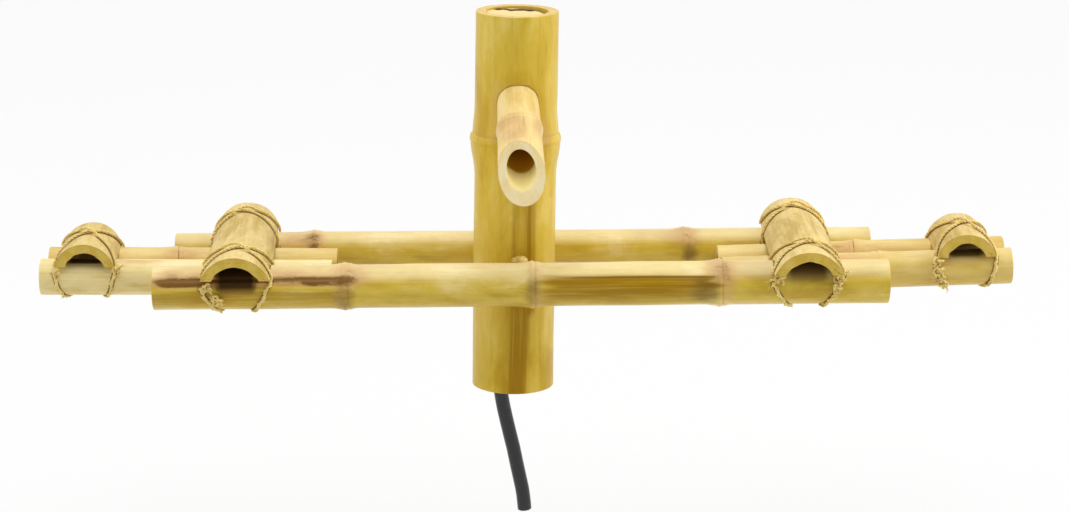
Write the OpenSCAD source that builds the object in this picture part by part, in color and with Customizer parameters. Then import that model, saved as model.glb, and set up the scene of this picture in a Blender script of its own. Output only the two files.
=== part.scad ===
// Pouring bamboo fountain: an upright culm with a spout, held between two rails, and two arms that
// slide under half-culm saddles to fit the container it pours into. Millimetres, +Z up. The origin is
// on the upright's axis, level with the undersides of the rails. The spout pours towards -Y.

/* [Upright] */
// Height of the upright culm
upright_h = 302; // [290:1:340]
// Outer diameter of the upright culm between its nodes
upright_d = 64.6; // [64.6:0.2:74]
// Wall of the upright culm
upright_wall = 8; // [6:0.2:9]
// How far the upright hangs below the rails
upright_drop = 81; // [60:1:110]
// Lean of the upright to the right, in degrees
upright_lean = 1; // [0:0.1:1.5]
// Lean of the upright backwards, away from its spout, in degrees
upright_lean_back = 4; // [0:0.5:5]
// Height of the upright's node above its foot
upright_node_h = 202; // [185:1:215]
// How far the upright's node stands out
upright_node_out = 3.7; // [2:0.1:5]
// Depth of the top plug below the rim
plug_recess = 1.5; // [1:0.5:8]
// Thickness of the top plug
plug_t = 6; // [3:0.5:10]

/* [Spout] */
// Outer diameter of the spout at its root
spout_root_d = 31.6; // [30:0.2:34]
// Outer diameter of the spout at its mouth
spout_mouth_d = 36; // [34:0.2:40]
// Bore of the spout
spout_bore = 22.5; // [18:0.5:25]
// How far the bore lies above the middle of the spout
spout_bore_rise = 1.4; // [0:0.1:1.6]
// Angle between the spout and a plane square to the upright
spout_slope = 34; // [30:1:38]
// Turn of the spout to the right of straight ahead
spout_turn = 2; // [0:0.5:5]
// Depth below the rim at which the spout's axis meets the upright's axis
spout_below_rim = 50.5; // [44:0.5:60]
// Length of the spout's upper edge from the upright's axis
spout_top_length = 88; // [80:1:110]
// Angle between the mouth's slanted cut and the spout's axis
spout_cut = 45; // [42:1:60]
// Turn of the slanted cut round the spout, which puts its tip to the right
spout_cut_turn = 9; // [0:1:15]
// Distance of the spout's node from the upright's axis
spout_node_distance = 60.5; // [56:0.5:64]
// How far the spout's node stands out
spout_node_out = 1.4; // [0.6:0.1:2.5]

/* [Rails] */
// Diameter of the front rail
front_rail_d = 34; // [30:0.2:35]
// Diameter of the rear rail
rear_rail_d = 30; // [28.6:0.2:33]
// Left end of the front rail, from the upright's axis
front_rail_left = 282; // [272:1:300]
// Right end of the front rail, from the upright's axis
front_rail_right = 290; // [275:1:310]
// Left end of the rear rail, from the upright's axis
rear_rail_left = 274; // [265:1:300]
// Right end of the rear rail, from the upright's axis
rear_rail_right = 288; // [275:1:310]
// Wall of the rails
rail_wall = 6.5; // [5:0.5:8]
// How far a rail's nodes stand out
rail_node_out = 1.8; // [1:0.1:2.2]
// Diameter of the dowel that pins the rails to the upright
dowel_d = 8; // [6:0.5:10]

/* [Arms] */
// Diameter of the four arm poles
arm_d = 28.5; // [25:0.1:28.8]
// Length of the four arm poles
arm_l = 229; // [215:1:240]
// Outer end of the left arm, from the upright's axis
left_arm_reach = 374; // [368:1:384]
// Outer end of the right arm, from the upright's axis
right_arm_reach = 392; // [386:1:402]
// How much farther an arm's front pole reaches than its rear pole
arm_stagger = 3; // [0:0.5:6]
// Wall of the arm poles
arm_wall = 6; // [5:0.5:8]
// How far an arm pole's node stands out
arm_node_out = 1.1; // [0.6:0.1:1.2]
// Rise of the left arm towards its outer end, in degrees
left_arm_slope = 0.8; // [0:0.1:1.5]
// Rise of the right arm towards its outer end, in degrees
right_arm_slope = 1.4; // [0:0.1:1.5]

/* [Saddles] */
// Width of the inner saddles across their legs, halfway along
inner_saddle_w = 52; // [48:1:56]
// Height of the inner saddles
inner_saddle_h = 19; // [17:0.5:22]
// Length of the inner saddles
inner_saddle_l = 146; // [136:1:156]
// How much smaller the inner saddles' radius is at the rear than at the front
inner_saddle_taper = 3; // [0:0.2:4]
// Width of the outer saddles across their legs
outer_saddle_w = 46.5; // [42:0.5:50]
// Height of the outer saddles
outer_saddle_h = 19; // [17:0.5:22]
// Length of the outer saddles
outer_saddle_l = 58; // [54:1:66]
// Wall of the saddles
saddle_wall = 7.8; // [6:0.2:9]
// Distance of the left inner saddle from the upright's axis
left_inner_x = 217; // [205:1:225]
// Distance of the right inner saddle from the upright's axis
right_inner_x = 226; // [218:1:232]
// Distance of the left outer saddle from the upright's axis
left_outer_x = 338; // [330:1:345]
// Distance of the right outer saddle from the upright's axis
right_outer_x = 355; // [350:1:362]

/* [Lashings] */
// Diameter of the lashing cord
cord_d = 2.4; // [1.6:0.1:2.4]
// Half the spread of an inner lashing's strands under its rail
inner_spread = 9; // [6:0.5:14]
// Half the spread of an outer lashing's strands under the arm poles
outer_spread = 13; // [8:0.5:18]

/* [Hose] */
// Outer diameter of the water hose
hose_d = 11.4; // [9:0.2:12]

/* [Hidden] */
$fn = 96;

// Colours
skin = "#d3b357";
cut_face = "#c2a044";
pith = "#d9c68c";
cord_col = "#d8b75a";
hose_col = "#1b1b1d";
glue_col = "#e9dfb8";

// Clearances
seat_gap = 0.2;
cord_clear = 0.38;
slide_gap = 1.4;
cope = 0.4;
arm_cope = 1.8;
edge = 0.6;
septum_t = 5;
eps = 0.5;

// Where things are
upright_r = upright_d / 2;
upright_bore_r = upright_r - upright_wall;
foot_z = -upright_drop;
rim_z = foot_z + upright_h;
front_r = front_rail_d / 2;
rear_r = rear_rail_d / 2;
front_y = -upright_r - front_r;
rear_y = upright_r + rear_r;
arm_r = arm_d / 2;
arm_side_gap = cord_d + 2 * cord_clear;
arm_y = upright_r - arm_side_gap - arm_r;
inner_seat_z = min(front_rail_d, rear_rail_d) - cope;
arm_z = inner_seat_z - slide_gap - arm_r;
outer_seat_z = arm_z + arm_r - arm_cope;
dowel_x = 12;
dowel_z = min(front_r, rear_r);
dowel_bite = 22;

// The upright leans backwards about the point of its axis level with the front rail's middle, and to
// the right about the point at lean_z
lean_z = 80;
function leaned_back(p) = let (c = cos(upright_lean_back), s = sin(upright_lean_back), h = p[2] - front_r)
    [p[0], p[1] * c + h * s, front_r + h * c - p[1] * s];
function leaned_right(p) = let (c = cos(upright_lean), s = sin(upright_lean), h = p[2] - lean_z)
    [p[0] * c + h * s, p[1], lean_z + h * c - p[0] * s];
function leaned(p) = leaned_right(leaned_back(p));

module lean() {
    translate([0, 0, lean_z]) rotate([0, upright_lean, 0]) translate([0, 0, front_r - lean_z])
        rotate([-upright_lean_back, 0, 0]) translate([0, 0, -front_r]) children();
}

// Each arm rises to its outer end from the outer leg of its inner saddle. side is -1 on the left.
module arm_slope(side) {
    x = side < 0 ? -left_inner_x - inner_saddle_w / 2 : right_inner_x + inner_saddle_w / 2;
    translate([x, 0, arm_z + arm_r]) rotate([0, side < 0 ? left_arm_slope : -right_arm_slope, 0])
        translate([-x, 0, -arm_z - arm_r]) children();
}

// Places of the nodes along the poles
front_nodes = [-132, 13, 159];
rear_nodes = [-161, -11, 138];
left_rear_node = 105;
right_rear_node = 119;
right_front_node = 106;

// Radius and centre height of an arch of width w and height h that stands on z
function arch_r(w, h) = (w * w / 4 + h * h) / (2 * h);
function arch_z(w, h, z) = z + h - arch_r(w, h);

inner_arch_r = arch_r(inner_saddle_w, inner_saddle_h);
inner_arch_z = arch_z(inner_saddle_w, inner_saddle_h, inner_seat_z);
inner_thin = inner_saddle_taper / inner_saddle_l;
outer_arch_r = arch_r(outer_saddle_w, outer_saddle_h);
outer_arch_z = arch_z(outer_saddle_w, outer_saddle_h, outer_seat_z);

// Culms

// The swell of a node: a smooth rise and fall, with a ridge and the narrow groove of the sheath scar
function swell(t) = abs(t) < 1 ? (1 + cos(180 * t)) / 2 : 0;
node_steps = [-1, -0.75, -0.5, -0.3, -0.15, -0.03, 0.05, 0.11, 0.17, 0.35, 0.55, 0.78, 1];
scar_step = 0.11;
scar_depth = 0.5;

function node_ring(at, r, out, spread, side) = [
    for (i = [0 : len(node_steps) - 1])
        let (t = node_steps[side > 0 ? i : len(node_steps) - 1 - i])
            [r + out * swell(t) - (t == scar_step ? scar_depth : 0), at + side * t * spread]
];

// Outline of a culm of length l that tapers from r0 to r1, with node rings at the given heights
function culm_outline(l, r0, r1, at, out, spread, side) = concat(
    [[0, 0], [r0 - edge, 0], [r0, edge]],
    [for (n = at) each node_ring(n, r0 + (r1 - r0) * n / l, out, spread, side)],
    [[r1, l - edge], [r1 - edge, l], [0, l]]
);

module culm(l, r0, r1, at = [], out = 1, spread = 12, side = 1) {
    rotate_extrude() polygon(culm_outline(l, r0, r1, at, out, spread, side));
}

// A blind bore with a dished end, from z = 0 up
module blind_bore(r, depth) {
    rotate_extrude() polygon([
        [0, -eps], [r, -eps], [r, depth - r / 2], [r * 0.87, depth - r / 5], [r * 0.5, depth], [0, depth]
    ]);
}

// A level pole from x0 to x1, hollow from each end to the next septum
module pole(x0, x1, y, z, r, wall, at, out) {
    l = x1 - x0;
    low = len(at) > 0 ? at[0] - x0 : l / 2;
    high = len(at) > 0 ? x1 - at[len(at) - 1] : l / 2;
    translate([x0, y, z]) rotate([0, 90, 0]) difference() {
        culm(l, r, r, [for (n = at) n - x0], out);
        blind_bore(r - wall, low - septum_t / 2);
        translate([0, 0, l]) mirror([0, 0, 1]) blind_bore(r - wall, high - septum_t / 2);
    }
}

// Upright

module rail_dowel_shape(clear) {
    translate([dowel_x, -upright_r - dowel_bite - clear, dowel_z]) rotate([-90, 0, 0])
        cylinder(d = dowel_d + 2 * clear, h = 2 * (upright_r + dowel_bite + clear));
}

module spout_frame() {
    translate([0, 0, rim_z - spout_below_rim]) rotate([0, 0, spout_turn])
        rotate([90 + spout_slope, 0, 0]) children();
}

// The room that the upright takes between the rails
module upright_room(clear, h) {
    lean() translate([0, 0, -h]) cylinder(r = upright_r + clear, h = 3 * h);
}

module upright() {
    color(skin) difference() {
        lean() difference() {
            translate([0, 0, foot_z])
                culm(upright_h, upright_r, upright_r, [upright_node_h], upright_node_out, 22);
            translate([0, 0, foot_z - eps])
                cylinder(r = upright_bore_r, h = upright_node_h - septum_t / 2 + eps);
            translate([0, 0, foot_z + upright_node_h + septum_t / 2])
                cylinder(r = upright_bore_r, h = upright_h);
            translate([hose_at_node[0], hose_at_node[1], foot_z])
                cylinder(d = hose_d + 4, h = upright_node_h + septum_t);
            spout_frame() spout_room();
        }
        rail_dowel_shape(seat_gap / 2);
    }
}

// The split disc that closes the upright's top, with its torn edge at the back and right
tear = [[-14, 22], [-9, 19.6], [-3, 19.2], [3, 18.4], [8, 16.2], [12, 13.6], [15, 9], [18, 3.5],
    [19.4, -2], [21.5, -6], [25, -8]];

module top_plug() {
    reach = upright_r;
    color(pith) lean() translate([0, 0, rim_z - plug_recess - plug_t]) difference() {
        cylinder(r = upright_bore_r - seat_gap / 2, h = plug_t);
        translate([0, 0, -eps]) linear_extrude(plug_t + 2 * eps)
            polygon(concat(tear, [[reach, -8], [reach, reach], [-14, reach]]));
    }
}

// Spout

butt_share = 0.74;
spout_butt = upright_bore_r * butt_share;
spout_root_r = spout_root_d / 2;
spout_mouth_r = spout_mouth_d / 2;
spout_l = spout_top_length + 2 * spout_mouth_r / tan(spout_cut) - spout_butt + 4;
spout_septum_at = spout_node_distance - spout_butt;
spout_septum_t = 4;
spout_root_wall = 4.8;

// The spout's outside, grown by clear
module spout_outside(clear) {
    culm(spout_l, spout_root_r + clear, spout_mouth_r + clear, [spout_septum_at], spout_node_out, 10, -1);
}

// The room that the spout takes in the upright's wall, open to the bore
module spout_room() {
    clear = seat_gap / 2;
    cylinder(r = spout_root_r + clear, h = spout_butt + edge);
    translate([0, 0, spout_butt]) spout_outside(clear);
}

module spout() {
    root_bore = min(spout_bore, spout_root_d - 2 * spout_root_wall);
    color(skin) lean() spout_frame() translate([0, 0, spout_butt]) difference() {
        spout_outside(0);
        translate([0, 0, -eps]) cylinder(d = root_bore, h = spout_septum_at - spout_septum_t / 2 + eps);
        cylinder(d = hose_d + 2 * seat_gap, h = spout_l);
        translate([0, spout_bore_rise, spout_septum_at + spout_septum_t / 2])
            cylinder(d = spout_bore, h = spout_l);
        rotate([0, 0, spout_cut_turn]) translate([0, spout_mouth_r, spout_top_length - spout_butt])
            rotate([spout_cut - 90, 0, 0]) translate([-spout_l, -spout_l, 0]) cube(2 * spout_l);
    }
}

// Rails and the dowel and glue that hold them

module rail(left, right, y, r, at) {
    color(skin) difference() {
        pole(-left, right, y, r, r, rail_wall, at, rail_node_out);
        upright_room(seat_gap, 2 * r);
        rail_dowel_shape(seat_gap / 2);
    }
}

module front_rail() {
    rail(front_rail_left, front_rail_right, front_y, front_r, front_nodes);
}

module rear_rail() {
    rail(rear_rail_left, rear_rail_right, rear_y, rear_r, rear_nodes);
}

module rail_dowel() {
    color(pith) rail_dowel_shape(0);
}

// A bead of glue in the crotch between the upright and the front rail's crown
module glue_bead() {
    bead_r = 4.6;
    bead_l = 12;
    bead_x = 2.5;
    around = 60;
    clear_r = front_r + seat_gap / 2;
    color(glue_col) difference() {
        translate([bead_x - bead_l / 2, -upright_r - 4.4, front_rail_d - 2]) rotate([0, 90, 0])
            rotate_extrude() polygon([
                [0, 0], [bead_r * 0.5, 0.5], [bead_r * 0.86, bead_l * 0.2], [bead_r, bead_l * 0.45],
                [bead_r * 0.9, bead_l * 0.75], [bead_r * 0.5, bead_l * 0.95], [0, bead_l]
            ]);
        upright_room(seat_gap / 2, front_rail_d);
        translate([-around, front_y, front_r]) rotate([0, 90, 0])
            culm(2 * around, clear_r, clear_r, [around + front_nodes[1]], rail_node_out);
    }
}

// Arms

module arm(side, x0, x1, y, at) {
    color(skin) arm_slope(side) pole(x0, x1, y, arm_z, arm_r, arm_wall, at, arm_node_out);
}

module left_front_arm() {
    arm(-1, -left_arm_reach, arm_l - left_arm_reach, -arm_y, []);
}

module left_rear_arm() {
    end = -left_arm_reach + arm_stagger;
    arm(-1, end, end + arm_l, arm_y, [end + left_rear_node - arm_stagger]);
}

module right_front_arm() {
    arm(1, right_arm_reach - arm_l, right_arm_reach, -arm_y, [right_arm_reach - right_front_node]);
}

module right_rear_arm() {
    end = right_arm_reach - arm_stagger / 2;
    arm(1, end - arm_l, end, arm_y, [end - right_rear_node]);
}

// Saddles

// A half culm of length l that straddles the X direction, with its legs cut level at z. It gets
// thinner to the rear by taper, with its crown level.
module saddle(x, w, h, l, z, taper = 0) {
    r0 = arch_r(w, h) + taper / 2;
    r1 = r0 - taper;
    difference() {
        translate([x, -l / 2, arch_z(w, h, z) - taper / 2]) rotate([atan(taper / l) - 90, 0, 0])
            rotate_extrude() polygon([
                [r0 - saddle_wall, 0], [r0 - edge, 0], [r0, edge], [r1, l - edge], [r1 - edge, l],
                [r1 - saddle_wall, l]
            ]);
        translate([x - 2 * r0, -l, z - 2 * r0]) cube([4 * r0, 2 * l, 2 * r0]);
    }
}

// The round of a level pole, cut from a saddle's legs where it sits
module pole_seat(x, w, y, z, r) {
    translate([x - w, y, z]) rotate([0, 90, 0]) cylinder(r = r + seat_gap, h = 2 * w);
}

module inner_saddle(x) {
    color(skin) difference() {
        saddle(x, inner_saddle_w, inner_saddle_h, inner_saddle_l, inner_seat_z, inner_saddle_taper);
        pole_seat(x, inner_saddle_w, front_y, front_r, front_r);
        pole_seat(x, inner_saddle_w, rear_y, rear_r, rear_r);
    }
}

module outer_saddle(side, x) {
    color(skin) arm_slope(side) difference() {
        saddle(x, outer_saddle_w, outer_saddle_h, outer_saddle_l, outer_seat_z);
        pole_seat(x, outer_saddle_w, -arm_y, arm_z, arm_r);
        pole_seat(x, outer_saddle_w, arm_y, arm_z, arm_r);
    }
}

module left_inner_saddle() {
    inner_saddle(-left_inner_x);
}

module right_inner_saddle() {
    inner_saddle(right_inner_x);
}

module left_outer_saddle() {
    outer_saddle(-1, -left_outer_x);
}

module right_outer_saddle() {
    outer_saddle(1, right_outer_x);
}

// Swept tubes

function unit(v) = v / norm(v);
function along(p, i) = unit(p[min(i + 1, len(p) - 1)] - p[max(i - 1, 0)]);
function square_to(v, t) = unit(v - (v * t) * t);

// A frame at each point of path p, carried along so that the tube never twists
function side_vectors(p) = [
    for (i = 0, u = square_to([0.31, 0.22, 0.92], along(p, 0)); i < len(p);
        i = i + 1, u = i < len(p) ? square_to(u, along(p, i)) : u) u
];

// Faces of a closed tube of n rings of m points
function tube_faces(n, m) = concat(
    [for (k = [1 : m - 2]) [0, k, k + 1]],
    [for (i = [0 : n - 2]) for (k = [0 : m - 1]) let (a = i * m + k, b = i * m + (k + 1) % m)
        each [[a, a + m, b], [b, a + m, b + m]]],
    [for (k = [1 : m - 2]) [(n - 1) * m, (n - 1) * m + k + 1, (n - 1) * m + k]]
);

module tube(p, d, sides) {
    u = side_vectors(p);
    ring = [
        for (i = [0 : len(p) - 1]) let (t = along(p, i), v = cross(t, u[i]))
            for (k = [0 : sides - 1])
                p[i] + d / 2 * (cos(360 * k / sides) * u[i] - sin(360 * k / sides) * v)
    ];
    polyhedron(ring, tube_faces(len(p), sides), convexity = 10);
}

// Least distance between parts of path p that are over skip points apart, less the diameter
function self_gap(p, d, skip) = min([
    for (i = [0 : len(p) - 1]) for (j = [i + skip : 1 : len(p) - 1]) norm(p[i] - p[j])
]) - d;

// Lashings

top_rings = 24;
wrap_rings = 26;
hump = cord_d + 0.7;
hump_angle = 26;
cord_lift = cord_d / 2 + cord_clear;

// A strand over an arch, from y0 at angle a0 to y1 at angle a1 around the arch's axis. r and z are the
// arch's radius and its axis's height at y = 0, and thin is how fast it thins out towards the rear.
function over_arch(x, z, r, a0, a1, y0, y1, lift, thin = 0) = [
    for (i = [0 : top_rings - 1])
        let (f = i / (top_rings - 1), a = a0 + (a1 - a0) * f, y = y0 + (y1 - y0) * f,
            q = r - thin * y + cord_lift + lift * swell(a / hump_angle))
            [x + q * sin(a), y, z + thin * y + q * cos(a)]
];

// A strand round a level pole at y, z, with x drawn in from wide to narrow and out again
function round_pole(x, y, z, r, a0, a1, wide, narrow, n) = [
    for (i = [0 : n - 1])
        let (f = i / (n - 1), a = a0 + (a1 - a0) * f, t = sqrt(pow(2 * f - 1, 2) + 0.01),
            q = r + cord_lift)
            [x + narrow + (wide - narrow) * t, y + q * sin(a), z + q * cos(a)]
];

// An inner lashing is one cord that crosses over the saddle and turns under the rail on either side.
// side is -1 at the front rail and 1 at the rear rail.
function inner_leg_a(y) =
    acos((inner_seat_z - inner_arch_z - inner_thin * y) / (inner_arch_r - inner_thin * y)) - 1;
function inner_leg_x(y) = (inner_arch_r - inner_thin * y + cord_lift) * sin(inner_leg_a(y));

// Angles round a rail, from its top: where a strand comes on, where it goes off and where the cord ends
rail_on_a = 62;
rail_off_a = 306;
rail_end_a = 288;

function inner_path(x, side) =
    let (y = side < 0 ? front_y : rear_y, r = side < 0 ? front_r : rear_r, q = r + cord_lift,
        near = y - side * q * sin(rail_on_a), far = y - side * q * sin(rail_off_a),
        leg_a = inner_leg_a(y), wide = inner_leg_x(y))
    concat(
        over_arch(x, inner_arch_z, inner_arch_r, -leg_a, leg_a, far, near, 0, inner_thin),
        round_pole(x, y, r, r, -side * rail_on_a, -side * rail_off_a, wide, inner_spread, wrap_rings),
        over_arch(x, inner_arch_z, inner_arch_r, leg_a, -leg_a, far, near, hump, inner_thin),
        round_pole(x, y, r, r, -side * rail_on_a, -side * rail_end_a, -wide, -inner_spread, wrap_rings)
    );

// An outer lashing crosses over its saddle from corner to corner and runs under both arm poles
outer_leg_a = acos((outer_seat_z + 1 - outer_arch_z) / (outer_arch_r + cord_lift));
outer_leg_x = (outer_arch_r + cord_lift) * sin(outer_leg_a);

// Angles round an arm pole, from its top: where a strand comes on and where the cord ends
arm_on_a = 42;
arm_end_a = 62;

// A strand from the top of one arm pole, down and under both, to the top of the other
function under_arms(x, from, wide, narrow, last) =
    let (q = arm_r + cord_lift, n = wrap_rings / 2)
    concat(
        [for (i = [0 : n]) let (f = i / n, a = arm_on_a + (180 - arm_on_a) * f)
            [x + wide + (narrow - wide) * pow(f, 1.4), from * (arm_y + q * sin(a)), arm_z + q * cos(a)]],
        [for (f = [0.2 : 0.2 : 0.81]) [x + narrow, from * arm_y * (1 - 2 * f), arm_z - q]],
        [for (i = [0 : n]) let (f = i / n, a = 180 - (180 - last) * f)
            [x + narrow + (wide - narrow) * pow(f, 0.7), -from * (arm_y + q * sin(a)), arm_z + q * cos(a)]]
    );

function outer_path(x) =
    let (y = arm_y + (arm_r + cord_lift) * sin(arm_on_a - 4))
    concat(
        over_arch(x, outer_arch_z, outer_arch_r, -outer_leg_a, outer_leg_a, -y, y, 0),
        under_arms(x, 1, outer_leg_x, outer_spread, arm_on_a),
        over_arch(x, outer_arch_z, outer_arch_r, outer_leg_a, -outer_leg_a, -y, y, hump),
        under_arms(x, 1, -outer_leg_x, -outer_spread, arm_end_a)
    );

echo(inner_lashing_gap = self_gap(inner_path(-left_inner_x, -1), cord_d, 6));
echo(outer_lashing_gap = self_gap(outer_path(-left_outer_x), cord_d, 6));

module lashing(path) {
    color(cord_col) tube(path, cord_d, 6);
}

module left_inner_front_lashing() {
    lashing(inner_path(-left_inner_x, -1));
}

module left_inner_rear_lashing() {
    lashing(inner_path(-left_inner_x, 1));
}

module right_inner_front_lashing() {
    lashing(inner_path(right_inner_x, -1));
}

module right_inner_rear_lashing() {
    lashing(inner_path(right_inner_x, 1));
}

module left_outer_lashing() {
    arm_slope(-1) lashing(outer_path(-left_outer_x));
}

module right_outer_lashing() {
    arm_slope(1) lashing(outer_path(right_outer_x));
}

// Hose

// The hose comes in at the foot, passes the upright's septum, turns over the top and ends in the spout
hose_x = -10;
turn_r = 21;
turn_y = upright_bore_r - hose_d / 2 - 1 - turn_r;
hose_at_node = [-1, 9];

// A point on the spout's axis, s from the upright's axis
function spout_point(s) = let (level = s * cos(spout_slope))
    [level * sin(spout_turn), -level * cos(spout_turn), rim_z - spout_below_rim - s * sin(spout_slope)];

turn_s = (turn_r * sin(spout_slope) - turn_y) / cos(spout_slope);
turn_end = spout_point(turn_s);
turn_z = turn_end[2] - turn_r * cos(spout_slope);

// The rise inside the upright: an even sweep from the foot to the hole in the upright's septum
straight_l = 16;
sweep = [0.25, 0.5, 0.75, 1];
riser_points = concat(
    [[hose_x, 0, foot_z], [hose_x, 0, foot_z + straight_l]],
    [for (f = sweep) [hose_x + (hose_at_node[0] - hose_x) * pow(f, 1.4), hose_at_node[1] * pow(f, 1.4),
        foot_z + straight_l + (upright_node_h - straight_l) * f]],
    [for (a = [20 : 20 : 81]) [turn_end[0] * a / 120, turn_y + turn_r * cos(a), turn_z + turn_r * sin(a)]],
    [[turn_end[0] * 0.85, turn_y + turn_r * cos(101), turn_z + turn_r * sin(101)], turn_end],
    [for (s = [turn_s + straight_l, spout_node_distance - 8, spout_node_distance + 7]) spout_point(s)]
);

// The free end, by hand: it hangs from the foot and curls a little to the right
tail_route = [[-13, 0, -80.8], [-12.8, 0, -88], [-11.8, 0, -95], [-10.6, 0, -102], [-9.2, 0, -109],
    [-7.7, 0, -116], [-6.2, 0, -123], [-4.6, 0, -130], [-3, 0, -137], [-1.7, 0, -144], [-0.4, 0, -151],
    [1, 0, -158], [2.4, 0, -165], [3.8, 0, -172], [4.8, 0, -179], [5.5, 0, -186], [5.9, 0, -190.8]];
tail_points = [for (q = tail_route) q + leaned(riser_points[0]) - tail_route[0]];

// A smooth curve through the points of p, with n steps between each pair
function blend_point(a, b, c, d, t) = 0.5 * (2 * b + (c - a) * t + (2 * a - 5 * b + 4 * c - d) * t * t
    + (3 * b - a - 3 * c + d) * t * t * t);
function smooth_path(p, n) = concat(
    [for (i = [0 : len(p) - 2]) for (j = [0 : n - 1])
        blend_point(p[max(i - 1, 0)], p[i], p[i + 1], p[min(i + 2, len(p) - 1)], j / n)],
    [p[len(p) - 1]]
);

module hose_riser() {
    color(hose_col) tube([for (q = smooth_path(riser_points, 3)) leaned(q)], hose_d, 12);
}

module hose_tail() {
    color(hose_col) tube(tail_points, hose_d, 12);
}

upright();
top_plug();
spout();
hose_riser();
hose_tail();
front_rail();
rear_rail();
rail_dowel();
glue_bead();
left_inner_saddle();
right_inner_saddle();
left_outer_saddle();
right_outer_saddle();
left_front_arm();
left_rear_arm();
right_front_arm();
right_rear_arm();
left_inner_front_lashing();
left_inner_rear_lashing();
right_inner_front_lashing();
right_inner_rear_lashing();
left_outer_lashing();
right_outer_lashing();
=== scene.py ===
"""A pouring bamboo fountain: culms, half-culm saddles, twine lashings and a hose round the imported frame."""

import itertools
import math

import bpy
import numpy as np
from mathutils import Matrix, Vector


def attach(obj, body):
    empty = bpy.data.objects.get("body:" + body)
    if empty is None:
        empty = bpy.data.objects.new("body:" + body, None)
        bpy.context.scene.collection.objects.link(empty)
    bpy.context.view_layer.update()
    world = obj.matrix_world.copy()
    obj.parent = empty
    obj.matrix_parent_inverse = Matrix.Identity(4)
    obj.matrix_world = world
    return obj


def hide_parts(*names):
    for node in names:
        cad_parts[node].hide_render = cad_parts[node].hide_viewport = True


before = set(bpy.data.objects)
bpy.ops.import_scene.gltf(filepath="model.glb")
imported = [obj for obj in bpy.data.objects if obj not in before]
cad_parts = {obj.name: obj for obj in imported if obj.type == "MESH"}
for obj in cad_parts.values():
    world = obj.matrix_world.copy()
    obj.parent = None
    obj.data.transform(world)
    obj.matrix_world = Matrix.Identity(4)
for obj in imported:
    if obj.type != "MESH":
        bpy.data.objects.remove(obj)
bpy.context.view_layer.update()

MM = 0.001
TAU = 2 * math.pi

# Sizes, in mm, as in the part's source
UPRIGHT_R = 32.3
UPRIGHT_BORE_R = UPRIGHT_R - 8.0
UPRIGHT_H = 302.0
FOOT_Z = -81.0
RIM_Z = FOOT_Z + UPRIGHT_H
NODE_H = 202.0
LEAN_RIGHT, LEAN_BACK = math.radians(1.0), math.radians(4.0)
LEAN_Z = 80.0
FRONT_R = 17.0
REAR_R = 15.0
FRONT_Y = -UPRIGHT_R - FRONT_R
REAR_Y = UPRIGHT_R + REAR_R
ARM_R = 14.25
CORD_D = 2.4
CORD_CLEAR = 0.38
LIFT = 1.22
ARM_Y = UPRIGHT_R - (CORD_D + 2 * CORD_CLEAR) - ARM_R
INNER_SEAT_Z = 2 * REAR_R - 0.4
ARM_Z = INNER_SEAT_Z - 1.4 - ARM_R
OUTER_SEAT_Z = ARM_Z + ARM_R - 1.8
SADDLE_WALL = 7.8
INNER_W, INNER_H, INNER_L = 52.0, 19.0, 146.0
INNER_THIN = 3.0 / INNER_L
OUTER_W, OUTER_H, OUTER_L = 46.5, 19.0, 58.0
LEFT_INNER_X, RIGHT_INNER_X = -217.0, 226.0
LEFT_OUTER_X, RIGHT_OUTER_X = -338.0, 355.0
LEFT_SLOPE, RIGHT_SLOPE = math.radians(0.8), math.radians(1.4)
SPOUT_ROOT_R, SPOUT_MOUTH_R = 15.8, 18.0
SPOUT_ROOT_BORE_R, SPOUT_BORE_R, SPOUT_BORE_RISE = 11.0, 11.25, 1.4
SPOUT_SLOPE = math.radians(34)
SPOUT_TURN = math.radians(2)
SPOUT_DOWN = 50.5
SPOUT_TOP_L = 88.0
SPOUT_CUT, SPOUT_CUT_TURN = math.radians(45), math.radians(9)
SPOUT_NODE_L = 60.5
SPOUT_BUTT = UPRIGHT_BORE_R * 0.74
PLUG_DOWN = 1.5
HOSE_R, HOSE_BORE_R = 5.7, 4.0
HOSE_X = -10.0
DOWEL_X, DOWEL_Z, DOWEL_R = 12.0, 15.0, 4.0


# Camera
def make_camera():
    """The camera at the photograph's viewing angle, aimed at a point near the middle of the object."""
    yaw, pitch, roll, distance = 0.0197, math.radians(18.30), -0.0034, 2.2272
    target = Vector((0.01503, 0.0, 0.02405))
    ahead = Vector((math.sin(yaw) * math.cos(pitch), math.cos(yaw) * math.cos(pitch), -math.sin(pitch)))
    level = ahead.cross(Vector((0, 0, 1))).normalized()
    upward = level.cross(ahead)
    right = math.cos(roll) * level + math.sin(roll) * upward
    up = math.cos(roll) * upward - math.sin(roll) * level
    data = bpy.data.cameras.new("camera")
    data.lens = 94.334
    data.sensor_width = 36.0
    data.sensor_fit = "HORIZONTAL"
    data.clip_start, data.clip_end = 0.05, 60.0
    camera = bpy.data.objects.new("camera", data)
    bpy.context.scene.collection.objects.link(camera)
    turn = Matrix((right, up, -ahead)).transposed().to_4x4()
    camera.matrix_world = Matrix.Translation(target - ahead * distance) @ turn
    bpy.context.scene.camera = camera


make_camera()


# Noise and small helpers
def points(x, y, z):
    """Points from three columns, where any of them may be one number."""
    return np.stack(np.broadcast_arrays(x, y, z), -1).astype(float)


def around(s, r, a):
    """Points at the radius r and the angle a round the first axis, s along it."""
    return points(s, r * np.cos(a), r * np.sin(a))


def circle(n):
    """The angles of n points round a ring."""
    return np.arange(n) * TAU / n


def spokes(a, u, v):
    """Unit steps out from an axis at the angles a, counted from u towards v."""
    return np.cos(a)[..., None] * u + np.sin(a)[..., None] * v


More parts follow.
